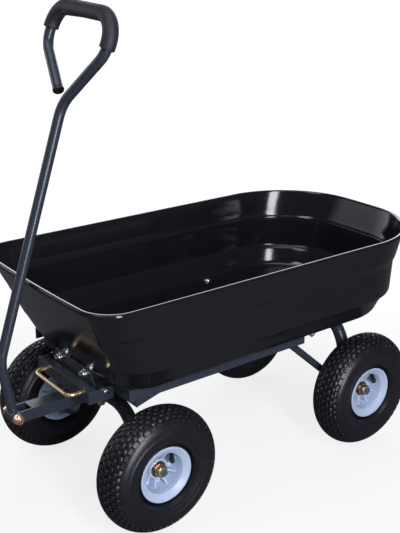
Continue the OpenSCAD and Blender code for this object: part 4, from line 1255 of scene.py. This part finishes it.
@dataclass
class BentSteel(Assembly):
    """The two hoops, the latch's bail and its springs, bent from tube, rod and wire."""

    hoop_r: float = 14.0
    foot_z: float = 110.0
    bail_x: tuple[float, float] = (622.2, 671.0)
    bail_y: float = 68.0
    bail_z: float = 263.5
    bail_r: float = 4.0
    bail_bend: float = 14.0
    spring_x: tuple[float, float] = (627.7, 641.0)
    wire_r: float = 0.7
    coil_r: float = 6.7
    turns: float = 3.5
    coil_steps: int = 98

    def hoop(self, end: End, leg_y: float, crown_z: float, bend_r: float, body: str) -> None:
        """Bends one hoop.

        Args:
            end: Which axle it carries.
            leg_y: Half of the distance between its legs.
            crown_z: Height of its crown.
            bend_r: Bend radius.
            body: The body that it rides on.
        """
        corners = [(-leg_y, self.foot_z), (-leg_y, crown_z), (leg_y, crown_z), (leg_y, self.foot_z)]
        points = [Vector((end.value, y, z)) for y, z in corners]
        tube = bent_tube(points, [bend_r, bend_r], self.hoop_r, 36, 0.8)
        self.piece(tube, f"{end.word}_bent_hoop", body, ["steel"], [f"{end.word}_hoop"])

    def bail(self) -> None:
        """The pull bail, a rod bent to a U."""
        (back, front), y = self.bail_x, self.bail_y
        corners = [(back, -y), (front, -y), (front, y), (back, y)]
        points = [Vector((*corner, self.bail_z)) for corner in corners]
        rod = bent_tube(points, [self.bail_bend, self.bail_bend], self.bail_r, 24, 1.0)
        self.piece(rod, "pull_bail", "bail", ["gold"], ["bail"])

    def springs(self) -> None:
        """The coils on the bail's legs, fixed in shape; the real ones shorten against the channel as the bail
        is pulled.
        """
        first, last = [Vector((x, 0.0, self.bail_z)) for x in self.spring_x]
        bm = bmesh.new()
        for side in Side:
            leg = first + Vector((0.0, side.value * self.bail_y, 0.0))
            start = Matrix.Translation(leg + Vector((0.0, self.coil_r, 0.0)))
            ring = bmesh.ops.create_circle(bm, segments=12, radius=self.wire_r, cap_ends=False,
                                           matrix=start)["verts"]
            bmesh.ops.spin(bm, geom=ring + edges_at(ring), cent=leg, axis=(1, 0, 0),
                           dvec=(last - first) / self.coil_steps, angle=math.tau * self.turns,
                           steps=self.coil_steps, use_duplicate=False)
        bmesh.ops.holes_fill(bm, edges=[e for e in bm.edges if e.is_boundary], sides=0)
        self.piece(bm, "latch_springs", "bail", ["spring"], ["bail_springs"], across=("frame", first, last))

    def build(self) -> None:
        """Bends both hoops and the bail, and winds its springs."""
        self.hoop(End.REAR, 146.0, 279.0, 88.0, "frame")
        self.hoop(End.FRONT, 128.0, 216.0, 68.0, "steering")
        self.bail()
        self.springs()


class Pressings(Assembly):
    """Plates, channels and other pieces whose solids stay, with softened edges and a finish."""

    STEEL = (
        "side_rail_left", "side_rail_right", "front_bolster", "rear_crossbar", "hoop_stay_left",
        "hoop_stay_right", "brace_left", "brace_right", "king_boss", "latch_channel", "tongue",
        "tub_cross_strap", "tub_hanger", "catch_plate", "hinge_strap_left", "hinge_strap_right",
    )
    ZINC = ("rear_stub_axles", "front_stub_axles", "king_pin", "bail_collars")
    SOFT_EDGES = {"steel": 0.0006, "zinc": 0.0003}

    @staticmethod
    def soften(node: Piece, width: float) -> None:
        """Welds a solid's triangles and rounds its sharp edges.

        Args:
            node: The solid's object.
            width: Width of the rounded edges, in metres.
        """
        weld = node.modifiers.new("weld", "WELD")
        weld.merge_threshold = 1e-6
        bevel = node.modifiers.new("soft_edges", "BEVEL")
        bevel.width = width
        bevel.segments = 2
        bevel.limit_method = "ANGLE"
        bevel.angle_limit = math.radians(40)
        bevel.harden_normals = False
        bevel.use_clamp_overlap = True

    def build(self) -> None:
        """Dresses every solid that stays."""
        for key, names in (("steel", self.STEEL), ("zinc", self.ZINC)):
            for name in names:
                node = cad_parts[name]
                node.data.materials.clear()
                node.data.materials.append(self.palette.made[key])
                self.soften(node, self.SOFT_EDGES[key])
                LOG.info("%s: dressed in %s", name, key)


# Stage


def stand(made: Piece, place: Vector, heading: Vector) -> None:
    """Sets a camera or a lamp at a place, turned along a heading."""
    made.location = place
    made.rotation_mode = "QUATERNION"
    made.rotation_quaternion = heading.to_track_quat("-Z", "Y")


@dataclass(frozen=True)
class Lamp:
    """A rectangular light that faces the cart, in metres.

    Attributes:
        name: Its name.
        azimuth: Degrees round the cart from straight ahead.
        away: Distance from the upright line through the origin.
        height: Height of its centre.
        aim: Height of the point on that line that it faces.
        size: Width and height.
        power: Power in watts.
        fades: Whether its light falls off across its width.
    """

    name: str
    azimuth: float
    away: float
    height: float
    aim: float
    size: tuple[float, float]
    power: float
    fades: bool = False

    TINT = (0.91, 0.94, 1.0)

    def hang(self) -> None:
        """Hangs the lamp."""
        turn = math.radians(self.azimuth)
        place = Vector((self.away * math.cos(turn), self.away * math.sin(turn), self.height))
        data = bpy.data.lights.new(self.name, "AREA")
        data.shape = "RECTANGLE"
        data.size, data.size_y = self.size
        data.energy = self.power
        data.color = self.TINT
        if self.fades:
            self._fade(data)
        stand(placed(self.name, data), place, Vector((0.0, 0.0, self.aim)) - place)

    @staticmethod
    def _fade(data: bpy.types.AreaLight) -> None:
        """Lets a panel's light fall off across its width.

        Args:
            data: The panel's light.
        """
        shader = Shader.of(data)
        spot = shader.add("NewGeometry").outputs["Parametric"]
        across = shader.add("SeparateXYZ", {"Vector": spot}).outputs["X"]
        glow = shader.add("Emission", {"Strength": shader.ramp(across, 0.0, 1.0, 2.2, 0.0)})
        shader.add("OutputLight", {"Surface": glow.outputs["Emission"]})


@dataclass
class Studio:
    """Pale floor, soft lights and the camera at the photograph's viewpoint."""

    eye: tuple[float, float, float] = (1438.6, 1498.3, 1105.3)
    yaw: float = -2.22
    pitch: float = -0.345
    focal_px: float = 933.06
    image_px: tuple[int, int] = (400, 533)
    lamps: tuple[Lamp, ...] = (
        Lamp("window_light", 74.0, 2.6, 1.63, 1.63, (0.56, 3.1), 96.0),
        Lamp("front_softbox", -2.0, 1.6, 3.2, 0.35, (0.8, 1.0), 14.0),
        Lamp("right_panel", -56.0, 3.0, 1.1, 0.35, (2.8, 2.0), 16.0, fades=True),
        Lamp("back_panel", 233.0, 3.0, 1.6, 0.35, (3.0, 1.6), 56.0),
        Lamp("top_softbox", 0.0, 0.05, 2.8, 0.35, (1.6, 1.2), 10.0),
    )

    WHITE = (1.0, 1.0, 1.0, 1.0)

    def camera(self) -> None:
        """Sets the camera where the photograph was taken from."""
        data = bpy.data.cameras.new("photo_camera")
        data.sensor_width = 36.0
        data.lens = self.focal_px / max(self.image_px) * data.sensor_width
        data.clip_start, data.clip_end = 0.05, 60.0
        made = placed("photo_camera", data)
        level = math.cos(self.pitch)
        ahead = Vector((level * math.cos(self.yaw), level * math.sin(self.yaw), math.sin(self.pitch)))
        stand(made, TO_ROW @ Vector(self.eye), ahead)
        bpy.context.scene.camera = made

    def floor(self) -> None:
        """Lays a white floor that keeps a faint shadow of the cart."""
        bm = bmesh.new()
        bmesh.ops.create_grid(bm, x_segments=4, y_segments=4, size=30.0)
        mesh = bpy.data.meshes.new("studio_floor")
        bm.to_mesh(mesh)
        bm.free()
        made = placed("studio_floor", mesh)
        material = bpy.data.materials.new("white_floor")
        shader = Shader.of(material)
        seen = shader.in_view()
        tone = shader.blend(seen, (0.15, 0.15, 0.155, 1.0), (0.8, 0.8, 0.8, 1.0))
        matt = shader.add("BsdfDiffuse", {"Color": tone})
        white = shader.add("Emission", {"Color": self.WHITE, "Strength": 1.08})
        away = shader.add("VectorMath", {0: shader.place()}, operation="LENGTH").outputs["Value"]
        share = shader.math("MULTIPLY", seen, shader.ramp(away, 0.7, 1.6, 0.74, 1.0))
        mix = shader.add("MixShader", {0: share, 1: matt.outputs["BSDF"], 2: white.outputs["Emission"]})
        shader.add("OutputMaterial", {"Surface": mix.outputs["Shader"]})
        mesh.materials.append(material)

    def world(self) -> None:
        """Sets a world that looks white and gives little light."""
        world = bpy.data.worlds.new("white_studio")
        shader = Shader.of(world)
        seen = shader.in_view()
        dim = shader.add("Background", {"Color": (0.90, 0.93, 1.0, 1.0), "Strength": 0.07})
        white = shader.add("Background", {"Color": self.WHITE, "Strength": 1.0})
        mix = shader.add("MixShader", {0: seen, 1: dim.outputs["Background"], 2: white.outputs["Background"]})
        shader.add("OutputWorld", {"Surface": mix.outputs["Shader"]})
        bpy.context.scene.world = world

    def build(self) -> None:
        """Sets up the whole studio."""
        self.camera()
        self.floor()
        for lamp in self.lamps:
            lamp.hang()
        self.world()
        bpy.context.scene.view_settings.view_transform = "Standard"


def main() -> None:
    """Builds the cart's pieces in order and reports each of them."""
    logging.basicConfig(level=logging.INFO, format="%(name)s %(message)s")
    Studio().build()
    palette = Palette()
    Tub(palette).build()
    Handle(palette).build()
    for end in End:
        for side in Side:
            Wheel(palette, end, side).build()
    BentSteel(palette).build()
    Hardware(palette).build()
    Pressings(palette).build()


if __name__ == "__main__":
    main()
